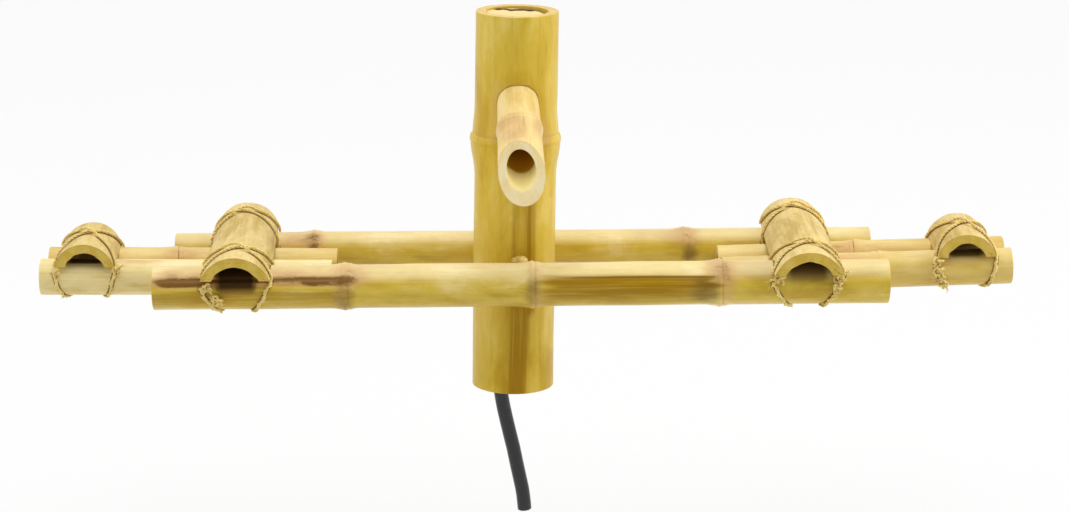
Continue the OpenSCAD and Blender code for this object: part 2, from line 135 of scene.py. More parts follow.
def lattice(i, j, k, seed):
    """Pseudo-random values from -1 to 1 at whole-number points."""
    h = (i * 73856093) ^ (j * 19349663) ^ (k * 83492791) ^ (seed * 374761393)
    h = ((h ^ (h >> 13)) * 1274126177) & 0xFFFFFFFF
    h = ((h ^ (h >> 15)) * 2246822519) & 0xFFFFFFFF
    return ((h ^ (h >> 16)) & 0xFFFF) / 32767.5 - 1.0


def noise(seed, x, y=0.0, z=0.0):
    """Smooth noise at each point, from -1 to 1."""
    p = points(x, y, z)
    base = np.floor(p).astype(np.int64)
    f = p - base
    f = f * f * (3 - 2 * f)
    total = np.zeros(p.shape[:-1])
    for corner in itertools.product((0, 1), repeat=3):
        share = np.prod([f[..., k] if up else 1 - f[..., k] for k, up in enumerate(corner)], axis=0)
        total += share * lattice(*(base[..., k] + up for k, up in enumerate(corner)), seed)
    return total


def bell(t):
    """A smooth rise and fall over -1 to 1."""
    return (1 + np.cos(math.pi * np.clip(np.abs(t), 0, 1))) / 2


def step(a, b, x):
    """0 up to a, 1 from b on, and eased between them."""
    t = np.clip((np.asarray(x, float) - a) / (b - a), 0, 1)
    return t * t * (3 - 2 * t)


def between(start, end, rise, fall, x):
    """1 between start and end, eased in over rise and out over fall."""
    return step(start, start + rise, x) * (1 - step(end - fall, end, x))


def peak(t, wide):
    """1 where t is 0, falling off over a width of about wide on either side."""
    return np.exp(-((t / wide) ** 2))


def turned(a, clock):
    """The angle a counted from a clock angle in degrees, from half a turn back to half a turn on."""
    return (a + math.radians(clock) + math.pi) % TAU - math.pi


def new_object(name, verts, faces, materials, face_material=None, attributes=None):
    """A smooth mesh object from points in mm."""
    mesh = bpy.data.meshes.new(name)
    mesh.from_pydata([tuple(v) for v in np.asarray(verts, float) * MM], [], faces)
    for m in materials:
        mesh.materials.append(m)
    if face_material is not None:
        mesh.polygons.foreach_set("material_index", np.asarray(face_material, np.int32))
    mesh.polygons.foreach_set("use_smooth", np.full(len(mesh.polygons), True))
    for key, values in (attributes or {}).items():
        values = np.asarray(values, np.float32)
        kind, field = ("FLOAT_VECTOR", "vector") if values.ndim == 2 else ("FLOAT", "value")
        mesh.attributes.new(key, kind, "POINT").data.foreach_set(field, values.ravel())
    mesh.validate()
    mesh.update()
    ob = bpy.data.objects.new(name, mesh)
    bpy.context.scene.collection.objects.link(ob)
    return ob


def tube_faces(n, m, first=0):
    """The sides and the two ends of a closed tube of n rings with m points each."""
    faces = []
    for a in range(first, first + (n - 1) * m, m):
        for k in range(m):
            q = (k + 1) % m
            faces.append((a + k, a + q, a + m + q, a + m + k))
    last = first + (n - 1) * m
    return faces + [tuple(range(first + m - 1, first - 1, -1)), tuple(range(last, last + m))]


def tube(name, rings, grain, material, flip=False, **attributes):
    """A closed tube through rings of points. flip turns its faces over."""
    faces = tube_faces(len(rings), len(rings[0]))
    if flip:
        faces = [face[::-1] for face in faces]
    attributes["grain"] = np.concatenate(grain) * MM
    return new_object(name, np.concatenate(rings), faces, [material], attributes=attributes)


PIECES = {}


def done(ob, node, body):
    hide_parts(node)
    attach(ob, body)
    PIECES[node] = ob
    return ob


def unit(v):
    v = np.asarray(v, float)
    return v / np.maximum(np.linalg.norm(v, axis=-1, keepdims=True), 1e-12)


def frames_along(path):
    """Tangents and two square directions along a path, carried along without twist."""
    t = np.empty_like(path)
    t[1:-1] = path[2:] - path[:-2]
    t[0] = path[1] - path[0]
    t[-1] = path[-1] - path[-2]
    t = unit(t)
    u = np.empty_like(path)
    ref = np.array([0.31, 0.22, 0.92])
    for i in range(len(path)):
        ref = ref - ref.dot(t[i]) * t[i]
        ref = ref / np.linalg.norm(ref)
        u[i] = ref
    return t, u, np.cross(t, u)


def lengths(path):
    """How far along the path each of its points lies."""
    return np.concatenate([[0], np.cumsum(np.linalg.norm(np.diff(path, axis=0), axis=1))])


def resample(path, spacing):
    """The path at an even spacing, in mm, and the lengths along it."""
    s = lengths(path)
    q = np.linspace(0, s[-1], max(4, int(round(s[-1] / spacing)) + 1))
    return np.stack([np.interp(q, s, path[:, i]) for i in range(3)], 1), q


def smooth_path(path, n):
    """Catmull-Rom curve through the points, n steps between each pair."""
    p = np.asarray(path, float)
    out = []
    for i in range(len(p) - 1):
        a, b, c, d = p[max(i - 1, 0)], p[i], p[i + 1], p[min(i + 2, len(p) - 1)]
        for j in range(n):
            t = j / n
            bend = (2 * a - 5 * b + 4 * c - d) * t * t + (3 * b - a - 3 * c + d) * t**3
            out.append(0.5 * (2 * b + (c - a) * t + bend))
    out.append(p[-1])
    return np.array(out)


def leaned(p):
    """Points of the upright's own frame where its lean, first back and then to the right, puts them."""
    p = np.asarray(p, float)
    c, s = math.cos(LEAN_BACK), math.sin(LEAN_BACK)
    h = p[..., 2] - FRONT_R
    y, z = p[..., 1] * c + h * s, FRONT_R + h * c - p[..., 1] * s
    c, s = math.cos(LEAN_RIGHT), math.sin(LEAN_RIGHT)
    h = z - LEAN_Z
    return points(p[..., 0] * c + h * s, y, LEAN_Z + h * c - p[..., 0] * s)


def sloped(p, body):
    """Points of an arm, given as if it were level, where its slope puts them. The frame's stay."""
    p = np.asarray(p, float)
    if body == "frame":
        return p
    left = body == "left_arm"
    x0 = LEFT_INNER_X - INNER_W / 2 if left else RIGHT_INNER_X + INNER_W / 2
    slope = LEFT_SLOPE if left else -RIGHT_SLOPE
    x, z = p[..., 0] - x0, p[..., 2] - ARM_Z - ARM_R
    c, s = math.cos(slope), math.sin(slope)
    return points(x0 + x * c + z * s, p[..., 1], ARM_Z + ARM_R + z * c - x * s)


# Materials
def srgb(r, g, b):
    """A colour written as it looks on a screen, 0 to 255, as the linear one that a shader takes."""
    shares = (c / 255.0 for c in (r, g, b))
    return (*(c / 12.92 if c <= 0.04045 else ((c + 0.055) / 1.055) ** 2.4 for c in shares), 1.0)


class Net:
    """A material's node tree, built a node at a time. Colours are given from 0 to 255."""

    def __init__(self, name):
        self.material = bpy.data.materials.new(name)
        self.material.use_nodes = True
        self.tree = self.material.node_tree
        self.tree.nodes.clear()
        self.out = self.tree.nodes.new("ShaderNodeOutputMaterial")

    def add(self, kind, inputs, **props):
        node = self.tree.nodes.new(kind)
        for key, value in props.items():
            setattr(node, key, value)
        for key, value in inputs.items():
            socket = node.inputs[key]
            if isinstance(value, bpy.types.NodeSocket):
                self.tree.links.new(value, socket)
            else:
                socket.default_value = srgb(*value) if socket.type == "RGBA" else value
        return node

    def mark(self, name):
        return self.add("ShaderNodeAttribute", {}, attribute_name=name).outputs["Fac"]

    def grain(self):
        return self.add("ShaderNodeAttribute", {}, attribute_name="grain").outputs["Vector"]

    def scaled(self, scale):
        return self.add("ShaderNodeMapping", {"Vector": self.grain(), "Scale": scale}).outputs[0]

    def noise(self, scale, detail, rough, distortion=0.0):
        values = {"Vector": self.scaled(scale), "Scale": 1.0, "Detail": detail, "Roughness": rough}
        return self.add("ShaderNodeTexNoise", values | {"Distortion": distortion}).outputs["Fac"]

    def cells(self, *scale):
        values = {"Vector": self.scaled(scale), "Scale": 1.0}
        return self.add("ShaderNodeTexVoronoi", values).outputs["Distance"]

    def math(self, op, a, b, clamp=False):
        return self.add("ShaderNodeMath", {0: a, 1: b}, operation=op, use_clamp=clamp).outputs[0]

    def times(self, a, b):
        return self.math("MULTIPLY", a, b)

    def plus(self, a, b):
        return self.math("ADD", a, b)

    def most(self, a, b, clamp=False):
        return self.math("MAXIMUM", a, b, clamp)

    def span(self, value, low, high, to_low=0.0, to_high=1.0):
        """to_low where value is low, to_high where it is high, and eased between them."""
        values = {"Value": value, "From Min": low, "From Max": high, "To Min": to_low, "To Max": to_high}
        return self.add("ShaderNodeMapRange", values, interpolation_type="SMOOTHSTEP").outputs[0]

    def mix(self, share, a, b, blend="MIX"):
        inputs = {0: share, 6: a, 7: b}
        return self.add("ShaderNodeMix", inputs, data_type="RGBA", blend_type=blend).outputs[2]

    def over(self, colour, value, low, high, top, tint):
        """The tint laid over the colour, up to the share top where value is high."""
        return self.mix(self.span(value, low, high, 0.0, top), colour, tint)

    def surface(self, colour, rough, shine, height, strength, distance=0.0004, more=None):
        """The finished material, with height as a bump of the given strength."""
        values = {"Strength": strength, "Distance": distance, "Height": height}
        bump = self.add("ShaderNodeBump", values).outputs[0]
        values = {"Base Color": colour, "Roughness": rough, "Normal": bump, "Specular IOR Level": shine}
        shader = self.add("ShaderNodeBsdfPrincipled", values | (more or {}))
        return self.finish(shader)

    def finish(self, shader):
        self.tree.links.new(shader.outputs[0], self.out.inputs["Surface"])
        return self.material


def skin_material(name, pale, mid, deep, gloss, coat, dry=0.0, top_sheen=0.0):
    """A culm's outside: soft blotches, faint fibres, brown node scars, heat stains and smoke marks.

    dry is how much of the glossy skin has been scraped off, as on the saddles. The last argument is how
    far the upper side of a level pole is painted paler: a painted highlight of the light from above.
    """
    net = Net(name)
    scorch, streak, stain_and_shade = (net.mark(key) for key in ("scorch", "streak", "stain_and_shade"))
    fibre = net.noise((26, 620, 620), 4.0, 0.6)
    band = net.noise((9, 120, 120), 3.0, 0.55)
    blotch = net.noise((16, 34, 34), 4.0, 0.6, 0.4)
    mottle = net.noise((110 + 160 * dry, 260, 260), 4.0, 0.65, 0.6)
    fine = net.noise((260, 1900, 1900), 2.0, 0.5)
    tone = net.plus(net.times(blotch, 0.72), net.times(band, 0.28))
    colour = net.mix(net.span(tone, 0.36, 0.52), deep, mid)
    colour = net.over(colour, tone, 0.5, 0.68, 0.75, pale)
    colour = net.over(colour, mottle, 0.46, 0.7, 0.16 + 0.5 * dry, deep)
    lines = net.times(net.span(fibre, 0.48, 0.78), 0.2)
    colour = net.mix(lines, colour, (150, 117, 45), "MULTIPLY")
    # painted highlight: the upper side of a level pole painted paler, for the sheen of the light from above
    if top_sheen:
        across = net.add("ShaderNodeSeparateXYZ", {"Vector": net.grain()})
        upper = net.span(across.outputs["Z"], -0.005, -0.0135, 0.0, top_sheen)
        colour = net.mix(upper, colour, (252, 240, 206))
    # stains: pinkish tan where weak, grey-brown where strong, broken up by the mottling
    ragged = net.times(scorch, net.span(mottle, 0.3, 0.62, 0.8, 1.15))
    colour = net.over(colour, ragged, 0.04, 0.5, 0.6, (206, 158, 106))
    colour = net.over(colour, ragged, 0.45, 1.05, 0.88, (112, 72, 14))
    # scorched bands, and on the upright streaks that are a painted reflection of the spout and the dark in
    # front
    long_band = net.noise((12, 420, 420), 3.0, 0.6)
    heat_and_reflection = net.times(streak, net.span(long_band, 0.35, 0.62, 0.68, 1.1))
    colour = net.over(colour, heat_and_reflection, 0.0, 1.0, 0.97, (160, 118, 0))
    soot = net.mark("soot")
    smoke = net.times(soot, net.span(mottle, 0.32, 0.6, 0.85, 1.1))
    colour = net.over(colour, smoke, 0.02, 1.0, 0.82, (108, 82, 26))
    colour = net.over(colour, net.mark("node_mark"), 0.1, 1.0, 0.8, (104, 70, 26))
    # painted shade: by a tight cord a brown line, partly staining, and under an arch a deep shade
    colour = net.over(colour, stain_and_shade, 0.02, 0.6, 0.88, (112, 78, 8))
    colour = net.over(colour, stain_and_shade, 0.6, 0.95, 0.9, (58, 34, 0))
    speck = net.span(net.cells(110, 190, 190), 0.09, 0.02)
    colour = net.mix(net.times(speck, net.span(blotch, 0.5, 0.62, 0.0, 0.4)), colour, (120, 88, 40))
    rough = net.plus(net.span(blotch, 0.3, 0.7, gloss - 0.03, gloss + 0.07), net.times(scorch, 0.06))
    rough = net.most(rough, net.times(stain_and_shade, 0.95))
    # the coat is gone where the skin is rubbed or burnt, and in the painted shade by cords and under arches
    worn_and_shaded = net.most(net.most(stain_and_shade, streak), net.times(net.most(soot, ragged), 0.8), True)
    shell = net.times(net.math("SUBTRACT", 1.0, net.times(worn_and_shaded, 0.9)), coat)
    ripple = net.plus(net.times(fine, 0.12 + 0.5 * dry), net.times(band, 0.5))
    height = net.plus(net.times(fibre, 0.3 + 0.7 * dry), ripple)
    more = {"Coat Weight": shell if coat else 0.0, "Coat Roughness": 0.42, "Coat IOR": 1.4}
    more |= {"Sheen Weight": 0.1, "Sheen Roughness": 0.45}
    return net.surface(colour, rough, 0.12, height, 0.12 + 0.25 * dry, more=more)


def cut_material(name, base, dark, light, dots=0.5):
    """A sawn end: the ends of the fibres as dots, closer together near the skin."""
    net = Net(name)
    depth = net.mark("depth")
    coarse = net.span(net.cells(60, 1150, 1150), 0.42, 0.12)
    close = net.span(net.cells(60, 2300, 2300), 0.45, 0.15)
    dot = net.mix(net.span(depth, 0.15, 0.5), close, coarse)
    cloud = net.noise((40, 90, 90), 4.0, 0.6)
    saw = net.noise((200, 60, 700), 3.0, 0.6)
    colour = net.mix(net.span(cloud, 0.35, 0.65), base, light)
    colour = net.mix(net.times(dot, dots), colour, dark)
    colour = net.over(colour, saw, 0.5, 0.8, 0.25, dark)
    colour = net.over(colour, depth, 0.14, 0.0, 0.45, dark)
    height = net.math("SUBTRACT", saw, net.times(dot, 0.6))
    return net.surface(colour, 0.75, 0.15, height, 0.35)


def bore_material(name, near, far, rough=0.8, torn=0.2):
    """The inside of a culm: pale by its mouth, darkening as painted shade where its shade mark is 1."""
    net = Net(name)
    fibre = net.noise((30, 500, 500), 4.0, 0.6)
    cloud = net.noise((50, 80, 80), 3.0, 0.6)
    ragged = net.plus(net.mark("stain"), net.span(cloud, 0.3, 0.7, -torn, torn))
    colour = net.mix(net.span(ragged, 0.15, 0.85), near, far)
    colour = net.mix(net.span(fibre, 0.5, 0.8, 0.0, torn), colour, (170, 130, 70), "MULTIPLY")
    return net.surface(colour, rough, 0.1, fibre, 0.3)


def twine_material():
    """Straw twine: fibres that run with each ply, and painted shade in the valleys between the plies."""
    net = Net("twine_straw")
    fibre = net.noise((90, 2600, 2600), 4.0, 0.65)
    patch = net.noise((60, 120, 120), 3.0, 0.6)
    colour = net.mix(net.span(patch, 0.35, 0.65), (235, 209, 126), (248, 227, 150))
    colour = net.over(colour, fibre, 0.48, 0.75, 0.55, (182, 140, 54))
    # painted shade in the valleys between the plies
    colour = net.over(colour, net.mark("core"), 0.22, 0.85, 0.88, (120, 80, 10))
    return net.surface(colour, 0.8, 0.15, fibre, 0.7, 0.0003)


def hose_material():
    """Glossy black tube with faint drawing lines and a little dust."""
    net = Net("hose_black")
    dust = net.noise((120, 120, 120), 4.0, 0.7)
    colour = net.mix(net.span(dust, 0.5, 0.8, 0.0, 0.35), (20, 20, 21), (64, 62, 60))
    rough = net.span(dust, 0.4, 0.75, 0.16, 0.34)
    return net.surface(colour, rough, 0.5, net.noise((8, 900, 900), 2.0, 0.5), 0.12, 0.0003)


def glue_material():
    """Set glue, amber and half clear, with small bubbles."""
    net = Net("glue_clear")
    cloud = net.noise((220, 220, 220), 3.0, 0.6)
    colour = net.mix(net.span(cloud, 0.3, 0.7), (212, 168, 66), (240, 214, 130))
    return net.surface(
        colour, 0.3, 0.5, net.cells(700, 700, 700), 0.25, 0.0003, {"Transmission Weight": 0.1}
    )


SKIN_UPRIGHT = skin_material("skin_upright", (236, 208, 110), (219, 187, 60), (201, 163, 18), 0.42, 0.4)
SKIN_SPOUT = skin_material("skin_spout", (249, 227, 170), (240, 213, 143), (224, 190, 104), 0.45, 0.2)
SKIN_RAIL = skin_material(
    "skin_rail", (242, 219, 146), (217, 186, 60), (193, 157, 18), 0.4, 1.0, top_sheen=0.32
)
SKIN_ARM = skin_material(
    "skin_arm", (236, 212, 142), (222, 192, 100), (203, 168, 64), 0.42, 0.5, top_sheen=0.08
)
# painted light: a paler copy of the arm skin for the left front pole, whose outer stretch is brightly lit
SKIN_ARM_LIT = skin_material("skin_arm_lit", (250, 236, 182), (242, 222, 156), (220, 194, 112), 0.42, 0.5)
SKIN_SADDLE = skin_material(
    "skin_saddle", (240, 217, 160), (227, 202, 136), (197, 167, 90), 0.65, 0.0, dry=0.5
)
CUT_POLE = cut_material("cut_pole", (214, 184, 108), (160, 122, 58), (226, 200, 132))
CUT_RIM = cut_material("cut_rim", (216, 187, 120), (170, 131, 62), (227, 201, 138), 0.45)
CUT_SADDLE = cut_material("cut_saddle", (211, 178, 72), (166, 126, 36), (224, 194, 96), 0.4)
CUT_SPOUT = cut_material("cut_spout", (250, 224, 160), (226, 190, 120), (255, 238, 188), 0.2)
# bores pale by the mouth and darker deeper in: painted shade of the hollow
BORE_DARK = bore_material("bore_dark", (150, 108, 26), (92, 58, 8))
BORE_RIM = bore_material("bore_rim", (210, 172, 70), (110, 74, 14))
# the saddles' inside is given a dark colour, painted shade under the arch
BORE_SADDLE = bore_material("bore_saddle", (140, 104, 30), (92, 60, 7))
# the spout's bore, dark deeper in as painted shade
BORE_SPOUT = bore_material("bore_spout", (255, 234, 156), (196, 140, 12), 0.6, 0.0)
TWINE = twine_material()
# the plug's dark colour is painted shade along its tear
PLUG = bore_material("plug_pith", (232, 208, 148), (56, 32, 2), 0.75)
HOSE = hose_material()
GLUE = glue_material()


# Hose: the one free cord
TAIL_ROUTE = [
    (-13, -80.8), (-12.8, -88), (-11.8, -95), (-10.6, -102), (-9.2, -109), (-7.7, -116), (-6.2, -123),
    (-4.6, -130), (-3, -137), (-1.7, -144), (-0.4, -151), (1, -158), (2.4, -165), (3.8, -172),
    (4.8, -179), (5.5, -186), (5.9, -190.8),
]
HOSE_START = leaned([HOSE_X, 0.0, FOOT_Z])
OPEN_DEPTH = 14
tail_path = np.array([(x, 0.0, z) for x, z in TAIL_ROUTE])
tail_path = tail_path + HOSE_START - tail_path[0]


def hose_tube(name, path):
    """A hose along a path, closed at its start, with a rounded rim and an open bore at its end."""
    path, s = resample(path, 1.0)
    t, u, v = frames_along(path)
    a = circle(40)
    last = len(path) - 1
    rows = [(0, 0.5, 0.0), (0, HOSE_R - 0.25, 0.0), (0, HOSE_R, 0.2)]
    rows += [(i, HOSE_R, 0.0) for i in range(1, last)]
    rows += [(last, HOSE_R, -0.2), (last, HOSE_R - 0.25, 0.0), (last, HOSE_BORE_R + 0.2, 0.0)]
    rows += [(i, HOSE_BORE_R, 0.0) for i in range(last, last - OPEN_DEPTH, -1)]
    rings, grain = [], []
    for i, r, push in rows:
        rings.append(path[i] + t[i] * push + r * spokes(a, u[i], v[i]))
        grain.append(around(s[i] + push, r, a))
    return tube(name, rings, grain, HOSE)


hose_tail = done(hose_tube("hose_free_end", tail_path), "hose_tail", "frame")
round(float(lengths(tail_path)[-1]) * MM, 4)


def spout_point(s):
    """A point of the spout's axis, s from the upright's axis, before the lean."""
    level = s * math.cos(SPOUT_SLOPE)
    height = RIM_Z - SPOUT_DOWN - s * math.sin(SPOUT_SLOPE)
    return [level * math.sin(SPOUT_TURN), -level * math.cos(SPOUT_TURN), height]


def make_riser():
    """The hidden stretch of the hose: up the upright, over and into the spout."""
    turn_r = 21.0
    turn_y = UPRIGHT_BORE_R - HOSE_R - 1 - turn_r
    turn_s = (turn_r * math.sin(SPOUT_SLOPE) - turn_y) / math.cos(SPOUT_SLOPE)
    end = spout_point(turn_s)
    turn_z = end[2] - turn_r * math.cos(SPOUT_SLOPE)
    straight = 16.0
    path = [(HOSE_X, 0, FOOT_Z), (HOSE_X, 0, FOOT_Z + straight)]
    for f in (0.25, 0.5, 0.75, 1.0):
        path.append((HOSE_X + 9 * f**1.4, 9 * f**1.4, FOOT_Z + straight + (NODE_H - straight) * f))
    for deg, share in ((20, 20 / 120), (40, 40 / 120), (60, 0.5), (80, 80 / 120), (101, 0.85)):
        q = math.radians(deg)
        path.append((end[0] * share, turn_y + turn_r * math.cos(q), turn_z + turn_r * math.sin(q)))
    path.append(end)
    for s in (turn_s + straight, SPOUT_NODE_L - 8, SPOUT_NODE_L + 7):
        path.append(spout_point(s))
    done(hose_tube("hose_inside", leaned(smooth_path(path, 6))), "hose_riser", "frame")


make_riser()


# Culms
# Marks are placed round a culm by clock angles in degrees, counted against its own angle a. On a level
# pole 0 faces the camera, 90 is the top and -90 the underside. On the upright 0 faces the camera and
# 90 is its left side, and on the spout 0 is the upper side.
TOWARDS = (0, -1, 0)
SKIN, CUT, BORE = 0, 1, 2


class Culm:
    """A pole of culm. s runs along it and a round it, from the side direction on.

    A node is (place, swell, spread, way), placed from the pole's start. Marks are rows placed from x0:
    stains and smoke (place, clock, length, width, strength), streaks (start, end, clock, width,
    strength), grooves (start, end, clock, depth, width), bands (start, end, top clock, bottom clock,
    strength) and arches, painted shade under an arch (start, end, low clock, softness, strength).
    """

    def __init__(self, origin, axis, side, length, r0, r1, nodes, scars, seed, marks, x0=0.0, oval=0.006):
        self.origin = origin
        self.axis = unit(axis)
        side = np.array(side, float)
        self.e1 = unit(side - side.dot(self.axis) * self.axis)
        self.e2 = np.cross(self.axis, self.e1)
        self.length, self.r0, self.r1 = length, r0, r1
        self.nodes, self.scars = nodes, scars
        self.seed, self.marks, self.x0, self.oval = seed, marks, x0, oval
        self.dense = []
        self.lip = False

    def rows(self, kind, places=2):
        """The rows of one kind of mark, with their first numbers measured from the pole's start."""
        return [[v - self.x0 for v in row[:places]] + list(row[places:]) for row in self.marks.get(kind, ())]

    def radius(self, s, a):
        """The outside radius, with node swells, the scar under each ridge and slight unevenness."""
        r = self.r0 + (self.r1 - self.r0) * s / self.length
        r = r * (1 + self.oval * np.cos(2 * a + self.seed))
        r = r + 0.28 * noise(self.seed, s / 42.0 + self.seed, np.cos(a) * 1.1, np.sin(a) * 1.1)
        for at, out, spread, way in self.nodes:
            d = (s - at - self.wave(a, at)) * way
            if self.lip:
                # a long swell below the scar, a rounded ridge, and a step in to a low flare above it
                below = np.where(d < -2, 0.84 * bell((d + 2) / 30) ** 1.2, 0.84)
                ridge = below + 0.16 * bell((d + 0.6) / 3.0) - 0.07 * bell((d - 2.1) / 1.0)
                above = 0.40 * bell((d - 3) / 24) ** 1.15
                r = r + out * np.where(d < 2.4, ridge, above + (0.84 - above) * (1 - step(2.4, 3.8, d)))
                continue
            low = np.where(d < 0, spread * 1.25, spread * 0.8)
            r = r + out * 0.78 * bell(d / low) ** 1.3
            r = r + out * 0.24 * bell((d + 1.4) / 2.6)
            r = r - out * 0.2 * bell((d - 1.3) / 1.2)
            r = r + out * 0.08 * bell((d - 3.4) / 1.8)
        clock = -turned(a, 0)
        for start, end, top, bottom, strength in self.rows("bands"):
            top, bottom = math.radians(top), math.radians(bottom)
            brow = 1 - step(top - 0.05, top + 0.05, clock + self.stray(s))
            fade = between(start, end, 24, 16, s)
            r = r - 0.5 * strength * fade * brow * step(bottom - 0.4, top, clock)
        for start, end, at, deep, wide in self.rows("grooves"):
            away = np.abs(turned(a, at))
            along = between(start, end, 0.35 * (end - start), 10, s)
            r = r - deep * along * peak(away * r, wide)
            r = r + 0.35 * deep * along * peak(away * r - 1.7 * wide, 0.6 * wide)
        return r

    def stray(self, s):
        """How far the upper edge of a browned side strays, as an angle."""
        return 0.07 * noise(self.seed + 51, s / 30.0, 2)

    def wave(self, a, at):
        """How far a node's scar strays along the pole on its way round."""
        if self.lip:
            return 0.25 * np.sin(a + 1.0)
        ripple = noise(self.seed + 7, np.cos(a) * 1.6, np.sin(a) * 1.6, at)
        return 0.7 * np.sin(a + self.seed * 1.7) + 0.4 * ripple

    def shades(self, s, a):
        """How dark the scars, stains, streaks and smoke marks are, and the painted shade under the arches."""
        node, scorch, streak, soot, shade = (np.zeros_like(s) for _ in range(5))
        clock = -turned(a, 0)
        for scar, (at, _, _, way) in zip(self.scars, self.nodes):
            d = (s - at - self.wave(a, at)) * way
            if self.lip:
                node = np.maximum(node, scar * 0.42 * peak(d - 4.4, 1.6))
                continue
            broken = step(-0.35, 0.3, noise(91, np.cos(a) * 2.6, np.sin(a) * 2.6, at))
            dark = scar * (0.35 + 0.65 * broken)
            node = np.maximum(node, dark * peak(d - 1.3, 0.5))
            node = np.maximum(node, 0.3 * dark * peak(d - 4.6, 0.8))
        for at, angle, long, wide, strength in self.rows("stains", 1):
            away = turned(a, angle) * self.r0
            ripple = 1 + 0.5 * noise(self.seed + 31, s / 14.0, np.cos(a) * 2.2, np.sin(a) * 2.2)
            scorch = scorch + strength * peak(s - at, long) * peak(away, wide) * ripple
        for start, end, angle, wide, strength in self.rows("streaks"):
            wander = 0.8 * noise(self.seed + 41, s / 19.0, -math.radians(angle))
            away = turned(a, angle) * self.r0 - wander
            streak = streak + strength * between(start, end, 14, 18, s) * peak(away, wide)
        for start, end, top, bottom, strength in self.rows("bands"):
            # a heated side: sharp at its upper edge, soft at its lower one
            top, bottom = math.radians(top), math.radians(bottom)
            tongue = 9 * noise(self.seed + 71, clock * 5.0, 7)
            fade = between(start - 8, end + 4, 30, 16, s + tongue)
            edge = clock + self.stray(s)
            side = (1 - step(top - 0.09, top + 0.16, edge)) * step(bottom - 0.55, bottom + 0.4, clock)
            brow = peak(edge - top + 0.03, 0.055) * between(start + 4, end, 36, 8, s)
            streak = np.maximum(streak, strength * fade * side * (0.72 + 0.28 * step(bottom, top, clock)))
            node = np.maximum(node, 0.75 * strength * brow)
        for start, end, low, soft, strength in self.rows("arches"):
            # painted shade: the part of a pole that an arch covers, dark from the low angle up
            low, soft = math.radians(low), math.radians(soft)
            up = step(low, low + soft, clock) * (1 - step(1.9, 2.4, clock))
            shade = np.maximum(shade, strength * between(start, end, 8, 8, s) * up)
        for at, angle, long, wide, strength in self.rows("smoke", 1):
            away = turned(a, angle) * self.r0
            ripple = 0.18 * noise(self.seed + 61, s / 9.0, np.cos(a) * 3, np.sin(a) * 3)
            d = np.sqrt(((s - at) / long) ** 2 + (away / wide) ** 2) + ripple
            soot = soot + strength * (1 - step(0.25, 1.45, d))
        return np.clip(node, 0, 1), np.clip(scorch, 0, 1.3), np.clip(streak, 0, 1), np.clip(soot, 0, 1), shade

    def stations(self, s0, s1):
        """Places along the pole, close together by the nodes."""
        out = [s0]
        while out[-1] < s1 - 1e-6:
            s = out[-1]
            near = min([abs(s - n[0]) for n in self.nodes] or [99.0])
            gap = 0.6 if near < 8 else (1.4 if near < 26 else 3.0)
            if any(low <= s <= high for low, high in self.dense):
                gap = min(gap, 0.8)
            out.append(min(s + gap, s1))
        if out[-1] - out[-2] < 0.3:
            out.pop(-2)
        return out

    def bore_rings(self, a, bore, end, inward):
        """The rings of a bore from its bottom to its mouth at end. bore is its radius and depth."""
        r, depth = bore
        edge = 0.3
        rough = 0.25 * noise(self.seed + 3, np.cos(a) * 2, np.sin(a) * 2, depth)
        bottom = end + inward * depth
        rows = []
        for share in (0.02, 0.5, 0.85, 0.97):
            rows.append((bottom - inward * r * 0.16 * share**2, (r + rough) * share, BORE))
        n = max(3, int(depth / 4))
        for i in range(n):
            rows.append((bottom + (end + inward * edge - bottom) * (i + 1) / n, r + rough, BORE))
        rows.append((end, r + rough + edge, CUT))
        return rows

    def build(self, name, materials, bore0, bore1, m=120, cut=None, stain=None):
        """The closed solid. bore0 and bore1 are (radius, depth) at the low and the high end.

        cut(r, a) gives the far end's place where that end is sawn at a slant.
        """
        a = circle(m)
        zero = np.zeros(m)
        edge = 0.45
        rounded = [(1 - math.cos(q * math.pi / 2), math.sin(q * math.pi / 2)) for q in (0.35, 0.7, 1.0)]

        def end_s(r):
            return cut(r, a) if cut else np.full(m, self.length)

        skin = self.radius(zero, a) - edge
        rings = self.bore_rings(a, bore0, zero, 1)
        inner = rings[-1][1]
        for f in (0.25, 0.5, 0.75, 0.93, 1.0):
            rings.append((zero, inner + (skin - inner) * f, CUT))
        for back, out in rounded:
            rings.append((np.full(m, edge * back), skin + edge * out, SKIN))
        far = end_s(self.r1)
        for s in self.stations(1.0, self.length - 1.0):
            here = s + (far - self.length) * step(0.35, 1.0, s / self.length)
            rings.append((here, self.radius(here, a), SKIN))
        skin = self.radius(far, a) - edge
        for back, out in rounded[::-1]:
            r = skin + edge * out
            rings.append((end_s(r) - edge * back, r, SKIN))
